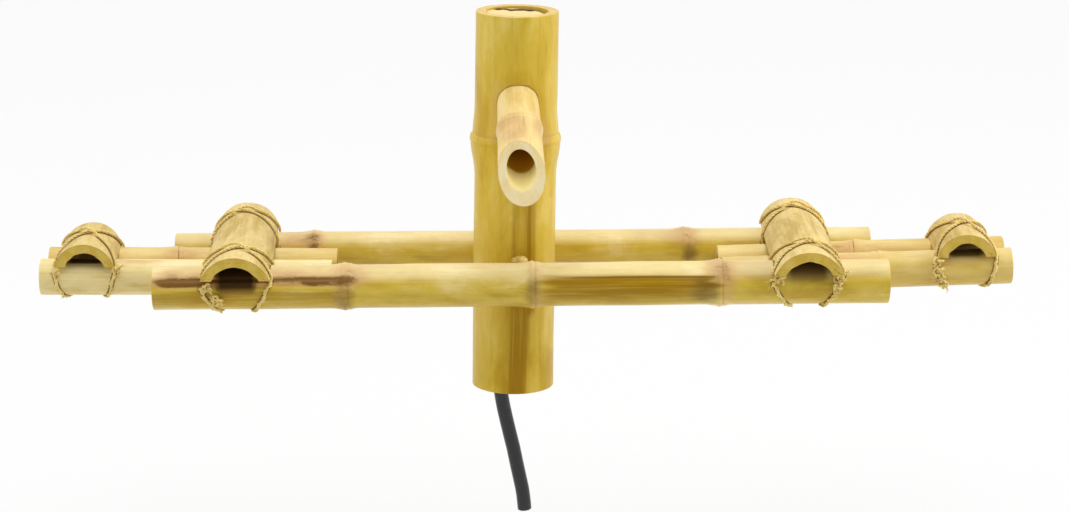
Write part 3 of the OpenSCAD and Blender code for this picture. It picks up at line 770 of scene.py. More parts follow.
        # the far bore's rings, drawn out to the slant
        mouth = end_s(bore1[0])
        flat = self.length - bore1[1]
        tail = []
        for s, r, kind in self.bore_rings(a, bore1, mouth, -1):
            drawn = flat + (s - (mouth - bore1[1])) * (mouth - flat) / bore1[1]
            tail.append((drawn if kind == BORE else end_s(r), r, kind))
        inner = tail[-1][1]
        for f in (0.0, 0.07, 0.25, 0.5, 0.75):
            r = skin + (inner - skin) * f
            rings.append((end_s(r), r, CUT))
        rings += tail[::-1]
        s = np.concatenate([ring[0] for ring in rings])
        r = np.concatenate([ring[1] for ring in rings])
        kind = np.array([ring[2] for ring in rings])
        a_all = np.tile(a, len(rings))
        verts = self.origin + s[:, None] * self.axis
        verts = verts + (r * np.cos(a_all))[:, None] * self.e1 + (r * np.sin(a_all))[:, None] * self.e2
        face_kind = np.append(np.repeat(np.minimum(kind[:-1], kind[1:]), m), [kind[0], kind[-1]])
        node, scorch, streak, soot, shade = self.shades(s, a_all)
        outer = self.radius(s, a_all)
        attributes = {
            "grain": around(s + 31.7 * self.seed, r, a_all) * MM,
            "node_mark": node,
            "scorch": scorch,
            "streak": streak,
            "soot": soot,
            # painted shade under the arches, on the skin only
            "stain_and_shade": shade * (r > outer - 2),
            "depth": np.clip((outer - r) / (outer.mean() - np.mean(bore1[0])), 0, 1),
            # bores darker away from the ends: painted shade of the hollow
            "stain": stain(s, a_all) if stain else np.clip(np.minimum(s, self.length - s) / 30, 0, 1),
        }
        return new_object(name, verts, tube_faces(len(rings), m), materials, face_kind, attributes)


def level_pole(name, node, skin, x0, x1, seed, ats=(), way=1, scars=(1.0,), **marks):
    """A rail or arm pole from x0 to x1. Its nodes and marks are placed by x."""
    front = "front" in node
    if node.endswith("rail"):
        body, slot, out, wall = "frame", "rail_culm", 1.8, 6.5
        y, r = (FRONT_Y, FRONT_R) if front else (REAR_Y, REAR_R)
        z = r
        arches = [(LEFT_INNER_X, 30), (RIGHT_INNER_X, 30)]
    else:
        body, slot, out, wall = node.split("_")[0] + "_arm", "arm_culm", 1.1, 6
        y, z, r = -ARM_Y if front else ARM_Y, ARM_Z, ARM_R
        arches = [(LEFT_OUTER_X if body == "left_arm" else RIGHT_OUTER_X, 27)]
    start, end = (sloped((x, y, z), body) for x in (x0, x1))
    spread = 12
    nodes = [(at - x0, out, spread, way) for at in ats]
    c = Culm(start, end - start, TOWARDS, x1 - x0, r, r, nodes, scars, seed, marks, x0)
    c.dense = [(x - half - x0, x + half - x0) for x, half in arches]
    low = (ats[0] - x0 if ats else (x1 - x0) / 2) - 2.5
    high = (x1 - ats[-1] if ats else (x1 - x0) / 2) - 2.5
    done(c.build(name, [skin, CUT_POLE, BORE_DARK], (r - wall, low), (r - wall, high)), node, body)


level_pole(
    "rail_front", "front_rail", SKIN_RAIL, -282, 290, 3, [-132, 13, 159], scars=[0.25, 0.35, 0.6],
    grooves=[(-302, -132, 38, 0.7, 1.8), (-302, -132, 22, 0.7, 1.8)],
    bands=[(-302, -130, 5, -55, 0.55), (14, 158, 39, -32, 1.0)],
    streaks=[
        (125, 155, 13, 0.9, 0.6), (59, 169, 20, 0.7, -0.5), (33, 89, 27, 0.6, -0.45),
        (69, 109, 9, 0.7, -0.45),
    ],
    stains=[
        (-268, 34, 40, 2.4, 0.95), (-256, 23, 44, 2.0, 0.8), (-164, 38, 36, 2.0, 1.0),
        (-160, 27, 30, 2.8, 0.95), (-222, 36, 40, 1.6, 0.8), (-252, 50, 60, 5, 0.35),
        (-164, 52, 34, 6, 0.4), (-127, 62, 14, 16, 0.42), (-136, -12, 9, 18, 0.3),
        (15, 10, 7, 26, 0.35), (156, 52, 12, 16, 0.45), (164, 20, 7, 22, 0.35), (-252, 60, 26, 9, 0.3),
    ],
    # painted shade under the inner saddles' arches
    arches=[
        (LEFT_INNER_X - 19, LEFT_INNER_X + 19, -14, 40, 0.95),
        (RIGHT_INNER_X - 19, RIGHT_INNER_X + 19, -10, 70, 0.6),
    ],
    smoke=[(-133, -12, 9, 12, 0.6), (12, 0, 8, 15, 0.6), (147, -6, 14, 14, 0.62)],
)
level_pole(
    "rail_rear", "rear_rail", SKIN_RAIL, -274, 288, 5, [-161, -11, 138], scars=[0.2, 0.2, 0.55],
    stains=[
        (-173, 52, 18, 12, 0.5), (-161, 20, 6, 20, 0.4), (141, 70, 9, 14, 0.4), (130, 60, 14, 12, 0.3),
    ],
    smoke=[(141, -6, 8, 9, 0.7), (139, 54, 0.9, 0.8, 0.7), (141, 46, 0.8, 0.7, 0.6)],
)
level_pole(
    "pole_left_front", "left_front_arm", SKIN_ARM_LIT, -374, -145, 7, stains=[(-304, 78, 34, 5, 0.35)],
    # painted shade under the outer saddle's arch
    arches=[(LEFT_OUTER_X - 17, LEFT_OUTER_X + 17, 60, 11, 0.85)],
)
level_pole(
    "pole_left_rear", "left_rear_arm", SKIN_ARM, -371, -142, 8, [-269],
    stains=[(-263, 60, 18, 14, 0.4), (-279, 30, 22, 4, 0.35)],
)
level_pole(
    "pole_right_front", "right_front_arm", SKIN_ARM, 163, 392, 9, [286], -1,
    stains=[(260, 55, 26, 8, 0.5), (346, 40, 24, 6, 0.3)],
    # painted shade under the outer saddle's arch
    arches=[(RIGHT_OUTER_X - 17, RIGHT_OUTER_X + 17, 40, 30, 0.7)],
)
level_pole(
    "pole_right_rear", "right_rear_arm", SKIN_ARM, 161.5, 390.5, 10, [271.5], -1,
    stains=[(253.5, 50, 26, 12, 0.5), (301.5, 30, 26, 8, 0.4)],
)


# Upright, plug and spout
def drill(ob, s0, s1, r, m):
    """Cuts a round hole along the spout's axis, from s0 to s1, out of an object."""
    start, end = leaned(spout_point(s0)), leaned(spout_point(s1))
    t = unit(end - start)
    u = unit(np.cross(t, [0.3, 0.2, 0.9]))
    ring = r * spokes(circle(m), u, np.cross(t, u))
    tool = new_object("cutter", np.concatenate([start + ring, end + ring]), tube_faces(2, m), [BORE_DARK])
    change = ob.modifiers.new("cut", "BOOLEAN")
    change.operation = "DIFFERENCE"
    change.solver = "EXACT"
    change.object = tool
    bpy.context.view_layer.update()
    mesh = bpy.data.meshes.new_from_object(ob.evaluated_get(bpy.context.evaluated_depsgraph_get()))
    spent = [ob.data, tool.data]
    ob.modifiers.clear()
    ob.data = mesh
    bpy.data.objects.remove(tool)
    for old in spent:
        bpy.data.meshes.remove(old)


def make_upright():
    foot = leaned([0, 0, FOOT_Z])
    axis = leaned([0, 0, RIM_Z]) - foot
    marks = {
        # the streaks down the front are a painted reflection of the spout and of the dark in front of the
        # upright
        "streaks": [
            (60, 186, -23, 4.2, 0.85), (70, 180, 1, 2.0, 0.3), (64, 180, -8, 6.0, 0.5),
            (-30, 92, -2, 11.0, 0.85), (-30, 80, -14, 3.0, 0.4),
        ],
        "stains": [
            (NODE_H + 5, 0, 3.0, 90, 0.22), (NODE_H + 5, -44, 26, 5, 0.3), (NODE_H + 20, 30, 24, 4, 0.3),
            (UPRIGHT_H - 62, 0, 12, 15, 0.3),
        ],
    }
    nodes = [(NODE_H, 3.7, 22, 1)]
    c = Culm(foot, axis, TOWARDS, UPRIGHT_H, UPRIGHT_R, UPRIGHT_R, nodes, [0.6], 2, marks, oval=0.003)
    c.lip = True
    below, above = (UPRIGHT_BORE_R, NODE_H - 2.5), (UPRIGHT_BORE_R, UPRIGHT_H - NODE_H - 2.5)
    ob = c.build("culm_upright", [SKIN_UPRIGHT, CUT_RIM, BORE_RIM], below, above, m=160)
    seat_r = SPOUT_ROOT_R + (SPOUT_MOUTH_R - SPOUT_ROOT_R) * 0.25
    drill(ob, 0, SPOUT_TOP_L, seat_r, 96)
    done(ob, "upright", "frame")


def make_plug():
    """The pale disc just below the rim, torn at the back and right, with painted shade along the tear."""
    r_in = UPRIGHT_BORE_R - 0.1
    tear = [
        (25, -8), (21.5, -6), (19.4, -2), (18, 3.5), (15, 9), (12, 13.6), (8, 16.2), (3, 18.4),
        (-3, 19.2), (-9, 19.6), (-14, 22),
    ]
    a = circle(180) - math.pi
    angle, reach = [math.atan2(y, x) for x, y in tear], [math.hypot(x, y) for x, y in tear]
    limit = np.interp(a, angle, reach, left=99, right=99)
    ragged = limit + 0.5 * noise(5, a * 6) + 0.35 * noise(6, a * 17, 0, 3)
    edge = np.minimum(np.where(limit < r_in, ragged, r_in), r_in)
    rows = [(0.02, -6), (0.6, -6), (0.97, -6), (1.0, -5.6), (1.0, -0.5), (0.985, -0.1), (0.93, 0.0)]
    rows += [(f, 0.0) for f in np.linspace(0.9, 0.02, 22)]
    rings, grain, stain = [], [], []
    for f, z in rows:
        x, y = edge * f * np.cos(a), edge * f * np.sin(a)
        lift = 0.3 * noise(9, x / 5, y / 5) - 0.5 * (1 - f) if z > -1 else 0.0
        rings.append(leaned(points(x, y, RIM_Z - PLUG_DOWN + z + lift)))
        grain.append(points(y * 0.2, x, y + z))
        # painted shade: the disc darkens along its torn rear edge
        away = y - (9.5 + 2.2 * noise(12, x / 5.0) - 0.16 * x)
        stain.append(step(-1.0, 1.5, away) * (1 - 0.55 * step(5.0, 9.0, away)))
    ob = tube("plug_disc", rings, grain, PLUG, stain=np.concatenate(stain))
    done(ob, "top_plug", "frame")


def make_spout():
    root = leaned(spout_point(SPOUT_BUTT))
    axis = leaned(spout_point(SPOUT_TOP_L)) - root
    top = SPOUT_TOP_L - SPOUT_BUTT
    length = top + SPOUT_MOUTH_R / math.tan(SPOUT_CUT)
    at = SPOUT_NODE_L - SPOUT_BUTT
    marks = {
        "stains": [
            (at + 11, 0, 13, 10, 0.36), (at + 8, -52, 13, 9, 0.36), (at + 3, 56, 12, 6, 0.4),
            (at + 20, -20, 8, 9, 0.4),
        ],
        "streaks": [(at - 4, at + 24, 9, 0.8, 0.7), (at + 2, at + 26, -4, 0.6, 0.5)],
    }
    radii = SPOUT_ROOT_R, SPOUT_MOUTH_R
    c = Culm(root, axis, (0, 0, 1), length, *radii, [(at, 1.4, 10, -1)], [0.5], 4, marks, oval=0.004)

    def cut(r, a):
        return top + (SPOUT_MOUTH_R - r * np.cos(a - SPOUT_CUT_TURN)) / math.tan(SPOUT_CUT)

    # painted shade in the bore: dark from a line a little inside the mouth on inwards
    def stain(s, a):
        return 1 - step(-1.2, 1.6, s - (96.5 - SPOUT_BUTT) + 5.5 * (1 + np.cos(a)) / 2)

    # the far bore's middle lies a little above the axis
    a = circle(128)
    across = SPOUT_BORE_RISE * np.sin(a)
    raised = SPOUT_BORE_RISE * np.cos(a) + np.sqrt(SPOUT_BORE_R**2 - across**2)
    bores = (SPOUT_ROOT_BORE_R, at - 2), (raised, length - at - 2)
    ob = c.build("culm_spout", [SKIN_SPOUT, CUT_SPOUT, BORE_SPOUT], *bores, m=128, cut=cut, stain=stain)
    drill(ob, SPOUT_NODE_L - 12, SPOUT_NODE_L + 12, HOSE_R + 0.2, 48)
    done(ob, "spout", "frame")


make_upright()
make_plug()
make_spout()


# Saddles
def make_saddle(name, node, body, x, w, h, length, seat_z, seats, seed, thin=0.0):
    """A half culm across the poles. Its legs are cut level at seat_z and coped over the poles in seats."""
    r, axis_z = arch(w, h, seat_z)
    n_arc = 84
    # one closed section: the outer arc from left to right, a leg, the inner arc back and the other leg.
    # u is the share of the way round, t is 0 on the outside and 1 on the inside
    arc, leg = np.linspace(-1, 1, n_arc), np.array([0.2, 0.5, 0.8])
    u = np.concatenate([arc, [1.0] * 3, np.linspace(1, -1, n_arc), [-1.0] * 3])
    t = np.concatenate([0 * arc, leg, 0 * arc + 1, leg[::-1]])
    kinds = np.repeat([SKIN, CUT, BORE, CUT], [n_arc, 3, n_arc, 3])
    m = len(u)
    rings, grain, depth, ring_kind = [], [], [], []

    def add_ring(y, shrink, kind):
        """A ring of the closed section at y, drawn in towards the middle of the wall by shrink (0 to 1)."""
        back = y - length / 2
        r_here, z_here = r - thin * back, axis_z + thin * back
        half = math.acos((seat_z - z_here) / r_here)
        inner_half = math.acos((seat_z - z_here) / (r_here - SADDLE_WALL))
        a = u * (half + (inner_half - half) * t)
        outer = r_here + 0.3 * noise(seed, a * 3.0, y / 30.0, seed) - 0.15
        inner = r_here - SADDLE_WALL + 0.5 * noise(seed + 1, a * 4.0, y / 22.0, 9)
        radius = outer + (inner - outer) * t
        radius = radius + ((outer + inner) / 2 - radius) * shrink
        z = np.maximum(z_here + radius * np.cos(a), seat_z + 0.25 * SADDLE_WALL * shrink)
        for cy, cz, cr in seats:
            d = abs(back - cy)
            clear = cr + 0.25
            if d < clear:
                z = np.maximum(z, cz + math.sqrt(clear**2 - d**2))
        rings.append(sloped(points(x + radius * np.sin(a), back, z), body))
        grain.append(points(y + 23.3 * seed, radius * np.sin(a), radius * np.cos(a)))
        depth.append(np.clip((outer - radius) / SADDLE_WALL, 0, 1))
        ring_kind.append(kind)

    face_shrinks = (0.92, 0.7, 0.45, 0.2, 0.06)
    for shrink in face_shrinks:
        add_ring(0.0, shrink, CUT)
    add_ring(0.12, 0.02, CUT)
    for y in [0.25, 0.6, *np.arange(1.4, length - 1.3, 0.8), length - 0.6, length - 0.25]:
        add_ring(y, 0.0, SKIN)
    add_ring(length - 0.12, 0.02, CUT)
    for shrink in face_shrinks[::-1]:
        add_ring(length, shrink, CUT)
    n = len(rings)
    faces = tube_faces(n, m)[:-2]
    ring_kind = np.array(ring_kind)
    whole = np.maximum(ring_kind[:-1], ring_kind[1:])[:, None] == CUT
    face_kind = list(np.where(whole, CUT, np.where(kinds == np.roll(kinds, -1), kinds, CUT)).ravel())
    # close the slit that is left in the middle of each cut face
    for first in (0, (n - 1) * m):
        for k in range(m // 2):
            quad = [first + q % m for q in (k, k + 1, m - 2 - k, m - 1 - k)]
            if len(set(quad)) == 4:
                faces.append(tuple(quad) if first else (quad[0], *quad[:0:-1]))
                face_kind.append(CUT)
    attributes = {"grain": np.concatenate(grain) * MM, "depth": np.concatenate(depth)}
    # the saddle's inside mixed most of the way to its dark colour: painted shade under the arch
    attributes["stain"] = np.full(n * m, 0.75)
    for key in ("node_mark", "scorch", "streak", "soot", "stain_and_shade"):
        attributes[key] = np.zeros(n * m)
    materials = [SKIN_SADDLE, CUT_SADDLE, BORE_SADDLE]
    ob = new_object(name, np.concatenate(rings), faces, materials, face_kind, attributes)
    done(ob, node, body)


def arch(w, h, seat_z):
    """The radius and the axis height of an arch of the given width and height over seat_z."""
    r = (w * w / 4 + h * h) / (2 * h)
    return r, seat_z + h - r


RAIL_SEATS = [(FRONT_Y, FRONT_R, FRONT_R), (REAR_Y, REAR_R, REAR_R)]
ARM_SEATS = [(-ARM_Y, ARM_Z, ARM_R), (ARM_Y, ARM_Z, ARM_R)]
INNER_SHAPE = (INNER_W, INNER_H, INNER_L, INNER_SEAT_Z, RAIL_SEATS)
OUTER_SHAPE = (OUTER_W, OUTER_H, OUTER_L, OUTER_SEAT_Z, ARM_SEATS)
for label, x, seed in (("left", LEFT_INNER_X, 11), ("right", RIGHT_INNER_X, 12)):
    make_saddle(f"saddle_{label}_inner", f"{label}_inner_saddle", "frame", x, *INNER_SHAPE, seed, INNER_THIN)
for label, x, seed in (("left", LEFT_OUTER_X, 13), ("right", RIGHT_OUTER_X, 14)):
    make_saddle(f"saddle_{label}_outer", f"{label}_outer_saddle", f"{label}_arm", x, *OUTER_SHAPE, seed)


# Lashings
PLY_R = 0.66
PLY_OUT = 0.52
TWIST = 6.6
TOP_RINGS = 24
WRAP_RINGS = 26
HUMP = CORD_D + 0.7
HUMP_ANGLE = math.radians(26)
RAIL_ON, RAIL_OFF, RAIL_END = (math.radians(q) for q in (62, 306, 288))
ARM_ON, ARM_END = math.radians(42), math.radians(62)
INNER_SPREAD, OUTER_SPREAD = 9.0, 13.0
FIBRES, SECOND_FIBRES, END_FIBRES, KNOT_FIBRES = 26, 9, 9, 16
KNOT_OUT = 2.2
INNER_R, INNER_AXIS_Z = arch(INNER_W, INNER_H, INNER_SEAT_Z)
OUTER_R, OUTER_AXIS_Z = arch(OUTER_W, OUTER_H, OUTER_SEAT_Z)
KNOT_RIGHT, KNOT_UP = unit((1, 0, 0)), unit((0, -0.35, 1))


def over_arch(x, z, r, leg_a, y0, y1, lift, thin=0.0):
    """A strand over a saddle, from y0 at the angle -leg_a to y1 at the angle leg_a."""
    f = np.linspace(0, 1, TOP_RINGS)
    a = -leg_a + 2 * leg_a * f
    y = y0 + (y1 - y0) * f
    q = r - thin * y + LIFT + lift * bell(a / HUMP_ANGLE)
    return points(x + q * np.sin(a), y, z + thin * y + q * np.cos(a))


def round_pole(x, y, r, a0, a1, wide, narrow):
    """A strand round a rail, drawn in from wide to narrow and out again."""
    f = np.linspace(0, 1, WRAP_RINGS)
    a = a0 + (a1 - a0) * f
    t = np.sqrt((2 * f - 1) ** 2 + 0.01)
    q = r + LIFT
    return points(x + narrow + (wide - narrow) * t, y + q * np.sin(a), r + q * np.cos(a))


def inner_path(x, side):
    """One cord that crosses over an inner saddle and turns under its rail. side is -1 at the front."""
    y, r = (FRONT_Y, FRONT_R) if side < 0 else (REAR_Y, REAR_R)
    q = r + LIFT
    near, far = y - side * q * math.sin(RAIL_ON), y - side * q * math.sin(RAIL_OFF)
    r_here = INNER_R - INNER_THIN * y
    leg_a = math.acos((INNER_SEAT_Z - INNER_AXIS_Z - INNER_THIN * y) / r_here) - math.radians(1)
    leg_x = (r_here + LIFT) * math.sin(leg_a)
    top = x, INNER_AXIS_Z, INNER_R
    return np.concatenate(
        [
            over_arch(*top, leg_a, far, near, 0, INNER_THIN),
            round_pole(x, y, r, -side * RAIL_ON, -side * RAIL_OFF, leg_x, INNER_SPREAD),
            over_arch(*top, -leg_a, far, near, HUMP, INNER_THIN),
            round_pole(x, y, r, -side * RAIL_ON, -side * RAIL_END, -leg_x, -INNER_SPREAD),
        ]
    )


def under_arms(x, wide, narrow, last):
    """A strand from the top of the rear arm pole, down and under both, to the front one."""
    q = ARM_R + LIFT
    f = np.linspace(0, 1, WRAP_RINGS // 2 + 1)
    a = ARM_ON + (math.pi - ARM_ON) * f
    down = points(x + wide + (narrow - wide) * f**1.4, ARM_Y + q * np.sin(a), ARM_Z + q * np.cos(a))
    across = points(x + narrow, ARM_Y * (1 - 2 * np.array([0.2, 0.4, 0.6, 0.8])), ARM_Z - q)
    a = math.pi - (math.pi - last) * f
    rise = points(x + narrow + (wide - narrow) * f**0.7, -ARM_Y - q * np.sin(a), ARM_Z + q * np.cos(a))
    return np.concatenate([down, across, rise])


def outer_path(x, body):
    """One cord that crosses over an outer saddle and runs under both arm poles."""
    q = ARM_R + LIFT
    y = ARM_Y + q * math.sin(ARM_ON - math.radians(4))
    leg_a = math.acos((OUTER_SEAT_Z + 1 - OUTER_AXIS_Z) / (OUTER_R + LIFT))
    leg_x = (OUTER_R + LIFT) * math.sin(leg_a)
    top = x, OUTER_AXIS_Z, OUTER_R
    path = [
        over_arch(*top, leg_a, -y, y, 0),
        under_arms(x, leg_x, OUTER_SPREAD, ARM_ON),
        over_arch(*top, -leg_a, -y, y, HUMP),
        under_arms(x, -leg_x, -OUTER_SPREAD, ARM_END),
    ]
    return sloped(np.concatenate(path), body)


class Strands:
    """Gathers round strands into one mesh."""

    def __init__(self):
        self.verts, self.grain, self.core, self.faces = [], [], [], []
        self.count = 0

    def strand(self, path, radius, sides, seed, core_of=None):
        """A tube of varying radius along a path. core_of is the twine's middle, for painted valley shade."""
        n = len(path)
        u, v = frames_along(path)[1:]
        a = circle(sides)
        ring = path[:, None] + radius[:, None, None] * spokes(a, u[:, None], v[:, None])
        grain = around((lengths(path) + seed)[:, None], radius[:, None], a) + [0, 0, seed * 0.13]
        self.grain.append(grain.reshape(-1, 3))
        if core_of is None:
            self.core.append(np.zeros(n * sides))
        else:
            # painted shade, darkest nearest the twine's middle
            away = np.linalg.norm(ring - core_of[:, None], axis=2)
            self.core.append(np.clip(1.3 - away / 0.62, 0, 1).ravel())
        self.verts.append(ring.reshape(-1, 3))
        self.faces += tube_faces(n, sides, self.count)
        self.count += n * sides

    def twine(self, path, seed, taper=(0, 0), scale=1.0):
        """Two plies twisted round a path. taper is how long each end thins out, in mm."""
        fine, s = resample(path, 0.55)
        fine = fine + 0.08 * np.stack([noise(seed, s / 7.0, q) for q in (1.5, 4.5, 8.5)], 1)
        u, v = frames_along(fine)[1:]
        thick = 1 + 0.14 * noise(seed + 5, s / 5.0)
        for reach, away in zip(taper, (s, s[-1] - s)):
            if reach:
                thick = thick * (0.35 + 0.65 * step(0, reach, away))
        turn = s / TWIST * TAU + 1.2 * noise(seed + 9, s / 16.0)
        for ply in (0, 1):
            w = turn + ply * math.pi
            off = spokes(w, u, v) * (PLY_OUT * scale * thick)[:, None]
            self.strand(fine + off, PLY_R * scale * thick, 7, float(seed * 3 + ply * 17), fine)
        return np.random.default_rng(seed)

    def hair(self, start, heading, length, rng, thin, curl=0.5):
        """One loose fibre of seven short pieces."""
        d = unit(heading)
        path = [np.array(start, float)]
        for _ in range(7):
            d = unit(d + curl * 0.35 * rng.normal(size=3) + np.array([0, 0, -0.05]))
            path.append(path[-1] + d * length / 7)
        self.strand(np.array(path), np.linspace(thin, thin * 0.35, 8), 4, float(rng.uniform(0, 90)))

    def fuzz(self, path, count, rng, reach=2.4):
        """Short fibres that stand out of a twine."""
        fine = resample(path, 1.0)[0]
        t, u, v = frames_along(fine)
        for _ in range(count):
            i = int(rng.integers(2, len(fine) - 2))
            a = rng.uniform(0, TAU)
            out = math.cos(a) * u[i] + math.sin(a) * v[i]
            way = t[i] * rng.choice([-1, 1])
            self.hair(fine[i] + out * 0.9, out * 0.6 + way, rng.uniform(0.5, 1.0) * reach, rng, 0.1)

    def second(self, path, phase, seed):
        """A strand wound loosely round a stretch of the cord, where its end is led back along it."""
        fine, s = resample(path, 1.0)
        u, v = frames_along(fine)[1:]
        w = s / 13.0 * TAU + phase
        path = fine + 1.15 * spokes(w, u, v)
        rng = self.twine(path, seed, taper=(2, 3), scale=0.92)
        self.fuzz(path, SECOND_FIBRES, rng, 3.0)

    def knot(self, centre, size, seed, tails):
        """A tight overhand knot with its cut, frayed ends. tails are (direction, length) pairs."""
        f = np.linspace(0.12, TAU - 0.12, 90)
        x = np.sin(f) + 2 * np.sin(2 * f)
        y = np.cos(f) - 2 * np.cos(2 * f)
        c, s = math.cos(seed * 0.7), math.sin(seed * 0.7)
        x, y = x * c - y * s, x * s + y * c
        out = np.cross(KNOT_RIGHT, KNOT_UP)
        path = x[:, None] * KNOT_RIGHT + y[:, None] * KNOT_UP - 1.1 * np.sin(3 * f)[:, None] * out
        rng = self.twine(centre + size / 3 * path, seed)
        for i, (way, length) in enumerate(tails):
            way = np.array(way, float)
            sag = np.array([0, 0, -0.12 * length])
            side = unit(np.cross(way, [0.2, 0.5, 0.8])) * 0.12 * length
            start = centre + 0.3 * size * unit(way)
            bends = [way * length * 0.4 + side, way * length * 0.75 + sag * 0.5, way * length + sag]
            path = smooth_path([start] + [start + bend for bend in bends], 5)
            self.twine(path, seed * 11 + i, taper=(0, 3), scale=0.8)
            for _ in range(END_FIBRES):
                j = len(path) - 1 - int(rng.integers(0, 6))
                self.hair(path[j], way + 0.7 * rng.normal(size=3), rng.uniform(2.0, 5.0), rng, 0.13, 0.9)
        for _ in range(KNOT_FIBRES):
            d = unit(rng.normal(size=3))
            self.hair(centre + d * size * 0.7, d, rng.uniform(1.5, 3.5), rng, 0.12, 0.9)


def press(path, nodes):
    """Darkens the pieces' skin along a cord pulled tight on them: staining and painted shade by the cord."""
    cord = resample(path, 0.7)[0]
    low, high = cord.min(0) - 4, cord.max(0) + 4
    for node in nodes:
        mesh = PIECES[node].data
        co = np.empty(len(mesh.vertices) * 3)
        mesh.vertices.foreach_get("co", co)
        co = co.reshape(-1, 3) / MM
        layer = mesh.attributes["stain_and_shade"].data
        dark = np.empty(len(layer), np.float32)
        layer.foreach_get("value", dark)
        near = np.flatnonzero(np.all((co > low) & (co < high), axis=1))
        for part in np.array_split(near, max(1, len(near) // 3000)):
            away = np.linalg.norm(co[part][:, None] - cord[None], axis=2).min(1)
            # within reach of the cord: partly staining and partly painted shade where the cord presses
            dark[part] = np.maximum(dark[part], 0.6 * (1 - step(1.75, 2.7, away)))
        layer.foreach_set("value", dark)


def make_lashing(label, body, path, seed, parts, pressed, knots=()):
    """A lashing with its fuzz, the parts of it that are wound twice, and its knots."""
    strands = Strands()
    strands.fuzz(path, FIBRES, strands.twine(path, seed))
    for k, (first, last) in enumerate(parts):
        strands.second(path[first:last], seed + 2.0 * k, seed + 3 + k)
    press(path, pressed)
    for k, (centre, size, tails) in enumerate(knots):
        strands.knot(centre, size, seed + 20 + k, tails)
    attributes = {"grain": np.concatenate(strands.grain) * MM, "core": np.concatenate(strands.core)}
    verts = np.concatenate(strands.verts)
    ob = new_object(f"lashing_{label}", verts, strands.faces, [TWINE], attributes=attributes)
    done(ob, f"{label}_lashing", body)


def make_inner_lashing(hand, side, seed, knots=()):
    x = LEFT_INNER_X if hand == "left" else RIGHT_INNER_X
    place = "front" if side < 0 else "rear"
    path = inner_path(x, side)
    wrap = TOP_RINGS + 14
    parts = [(wrap, TOP_RINGS + WRAP_RINGS), (wrap + TOP_RINGS + WRAP_RINGS, len(path))]
    pressed = (f"{hand}_inner_saddle", f"{place}_rail")
    make_lashing(f"{hand}_inner_{place}", "frame", path, seed, parts, pressed, knots)


def make_outer_lashing(hand, x, seed, knots):
    body = f"{hand}_arm"
    path = outer_path(x, body)
    rise = TOP_RINGS + WRAP_RINGS // 2 + 7
    parts = [(rise, TOP_RINGS + 31), (rise + TOP_RINGS + 32, len(path))]
    pressed = (f"{hand}_outer_saddle", f"{hand}_front_arm", f"{hand}_rear_arm")
    make_lashing(f"{hand}_outer", body, path, seed, parts, pressed, knots)


def on_pole(x, clock, y, z, r):
    """A point just clear of a pole, clock degrees up from the side that faces the camera."""
    q, out = math.radians(clock), r + KNOT_OUT
    return np.array([x, y - out * math.cos(q), z + out * math.sin(q)])


def on_rail(x, clock):
    return on_pole(x, clock, FRONT_Y, FRONT_R, FRONT_R)


def on_arm(x, clock):
    return sloped(on_pole(x, clock, -ARM_Y, ARM_Z, ARM_R), "left_arm" if x < 0 else "right_arm")


make_inner_lashing(
    "left", -1, 101,
    [
        (on_rail(LEFT_INNER_X - 22, 18), 3.6, [((-0.5, -0.5, -0.7), 6), ((0.6, -0.3, -0.7), 6)]),
        (on_rail(LEFT_INNER_X - 15, -14), 4.2, [((-0.5, -0.5, 0.5), 6), ((0.8, -0.3, -0.4), 7)]),
    ],
)
make_inner_lashing(
    "right", -1, 121,
    [
        (on_rail(RIGHT_INNER_X - 22, 24), 4.2, [((-1, -0.3, 0.1), 9), ((-0.9, -0.5, -0.4), 8)]),
        (on_rail(RIGHT_INNER_X + 24, 26), 4.4, [((0.6, -0.4, 0.8), 9), ((-0.1, -0.4, -1), 8)]),
        (on_rail(RIGHT_INNER_X + 22, 2), 3.4, [((-0.3, -0.4, -0.8), 6)]),
    ],
)
make_inner_lashing("left", 1, 141)
make_inner_lashing("right", 1, 161)
make_outer_lashing(
    "left", LEFT_OUTER_X, 181,
    [
        (on_arm(LEFT_OUTER_X + 25, 38), 3.0, [((0.7, -0.3, 0.7), 7)]),
        (on_arm(LEFT_OUTER_X - 22, 30), 2.6, [((-0.4, -0.3, 0.6), 4)]),
    ],
)
make_outer_lashing(
    "right", RIGHT_OUTER_X, 201,
    [
        (on_arm(RIGHT_OUTER_X - 23, 34), 4.4, [((-0.6, -0.3, -0.5), 6)]),
        (on_arm(RIGHT_OUTER_X - 22, 6), 4.6, [((-0.6, -0.3, -0.5), 6)]),
        (on_arm(RIGHT_OUTER_X - 19, -24), 4.2, [((0.5, -0.3, -0.7), 6)]),
    ],
)


# Glue and dowel
def make_glue():
    """The bead in the crotch between the upright and the front rail."""
    a = circle(40)
    rings, grain = [], []
    half = 6.6
    for i in range(26):
        f = -1 + 2 * i / 25
        r = 3.9 * math.sqrt(max(0.0, 1 - abs(f) ** 2.6)) + 0.05
        wob = 1 + 0.3 * noise(3, np.cos(a) * 1.9 + 4, np.sin(a) * 1.9, f * 3.1)
        y = -UPRIGHT_R - 4.2 + r * wob * np.cos(a)
        z = 2 * FRONT_R - 1.6 + r * 0.9 * wob * np.sin(a)
        rings.append(points(2.6 + half * f, y, z))
        grain.append(around(half * f, r, a))
    done(tube("glue_bead_piece", rings, grain, GLUE), "glue_bead", "frame")


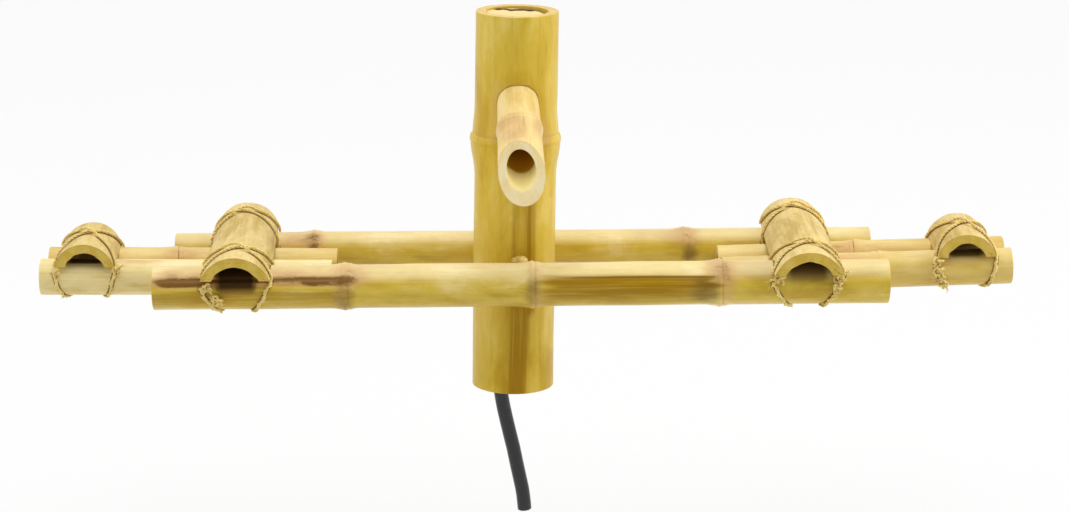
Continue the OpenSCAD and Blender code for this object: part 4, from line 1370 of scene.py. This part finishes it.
def make_dowel():
    """The hidden pin through the rails and the upright, with chamfered ends."""
    a = circle(48)
    reach = UPRIGHT_R + 22
    low_end = [(-reach, 1.0), (-reach, 3.4), (-reach + 0.6, DOWEL_R)]
    middle = [(y, DOWEL_R) for y in np.linspace(-reach + 4, reach - 4, 30)]
    rows = low_end + middle + [(-y, r) for y, r in low_end[::-1]]
    rings, grain = [], []
    for y, r in rows:
        r = r * (1 + 0.006 * noise(8, np.cos(a) * 2, np.sin(a) * 2, y / 20))
        rings.append(points(DOWEL_X + r * np.cos(a), y, DOWEL_Z + r * np.sin(a)))
        grain.append(around(y, r, a))
    ob = tube("dowel_pin", rings, grain, CUT_POLE, flip=True, depth=np.full(len(rows) * 48, 0.5))
    done(ob, "rail_dowel", "frame")


make_glue()
make_dowel()


# Stage and light
def make_stage():
    """A pale floor and backdrop in one sheet, well below the hanging hose, and clear from behind."""
    width, floor_z, sweep = 9000.0, -215.0, 900
    profile = [(-6000.0, floor_z)]
    for a in np.linspace(0, math.pi / 2, 24):
        profile.append((2500.0 + sweep * math.sin(a), floor_z + sweep * (1 - math.cos(a))))
    profile.append((3400.0, 5200.0))
    verts = [(x, y, z) for y, z in profile for x in (-width, width)]
    faces = [(2 * i, 2 * i + 1, 2 * i + 3, 2 * i + 2) for i in range(len(profile) - 1)]
    net = Net("stage_white")
    pale = net.add("ShaderNodeBsdfPrincipled", {"Base Color": (232, 232, 232), "Roughness": 0.9})
    glow = net.add("ShaderNodeEmission", {"Color": (255, 255, 255), "Strength": 1.0})
    ray = net.add("ShaderNodeLightPath", {}).outputs
    seen = net.most(ray["Is Camera Ray"], net.most(ray["Is Glossy Ray"], ray["Is Transmission Ray"]))
    lit = {0: net.times(seen, 0.88), 1: pale.outputs[0], 2: glow.outputs[0]}
    behind = net.add("ShaderNodeNewGeometry", {}).outputs["Backfacing"]
    clear = net.add("ShaderNodeBsdfTransparent", {})
    front = net.add("ShaderNodeMixShader", lit).outputs[0]
    material = net.finish(net.add("ShaderNodeMixShader", {0: behind, 1: front, 2: clear.outputs[0]}))
    new_object("stage", verts, faces, [material])


def lamp(name, at, aim, size, power):
    data = bpy.data.lights.new(name, "AREA")
    data.shape = "RECTANGLE"
    data.size, data.size_y = size
    data.energy = power
    ob = bpy.data.objects.new(name, data)
    bpy.context.scene.collection.objects.link(ob)
    ob.location = at
    ob.rotation_euler = (Vector(aim) - Vector(at)).to_track_quat("-Z", "Y").to_euler()


def make_light():
    world = bpy.data.worlds.new("world")
    world.use_nodes = True
    back = world.node_tree.nodes["Background"]
    back.inputs["Color"].default_value = (1, 1, 1, 1)
    back.inputs["Strength"].default_value = 0.35
    bpy.context.scene.world = world
    lamp("lamp_top", (0.0, 0.1, 2.3), (0, 0.02, 0), (2.3, 2.6), 48)
    lamp("lamp_left", (-2.4, -0.3, 0.8), (0, 0, 0.05), (1.6, 2.0), 19)
    lamp("lamp_right", (2.4, -0.3, 0.9), (0, 0, 0.05), (1.6, 2.0), 34)


make_stage()
make_light()
bpy.context.scene.view_settings.view_transform = "Standard"
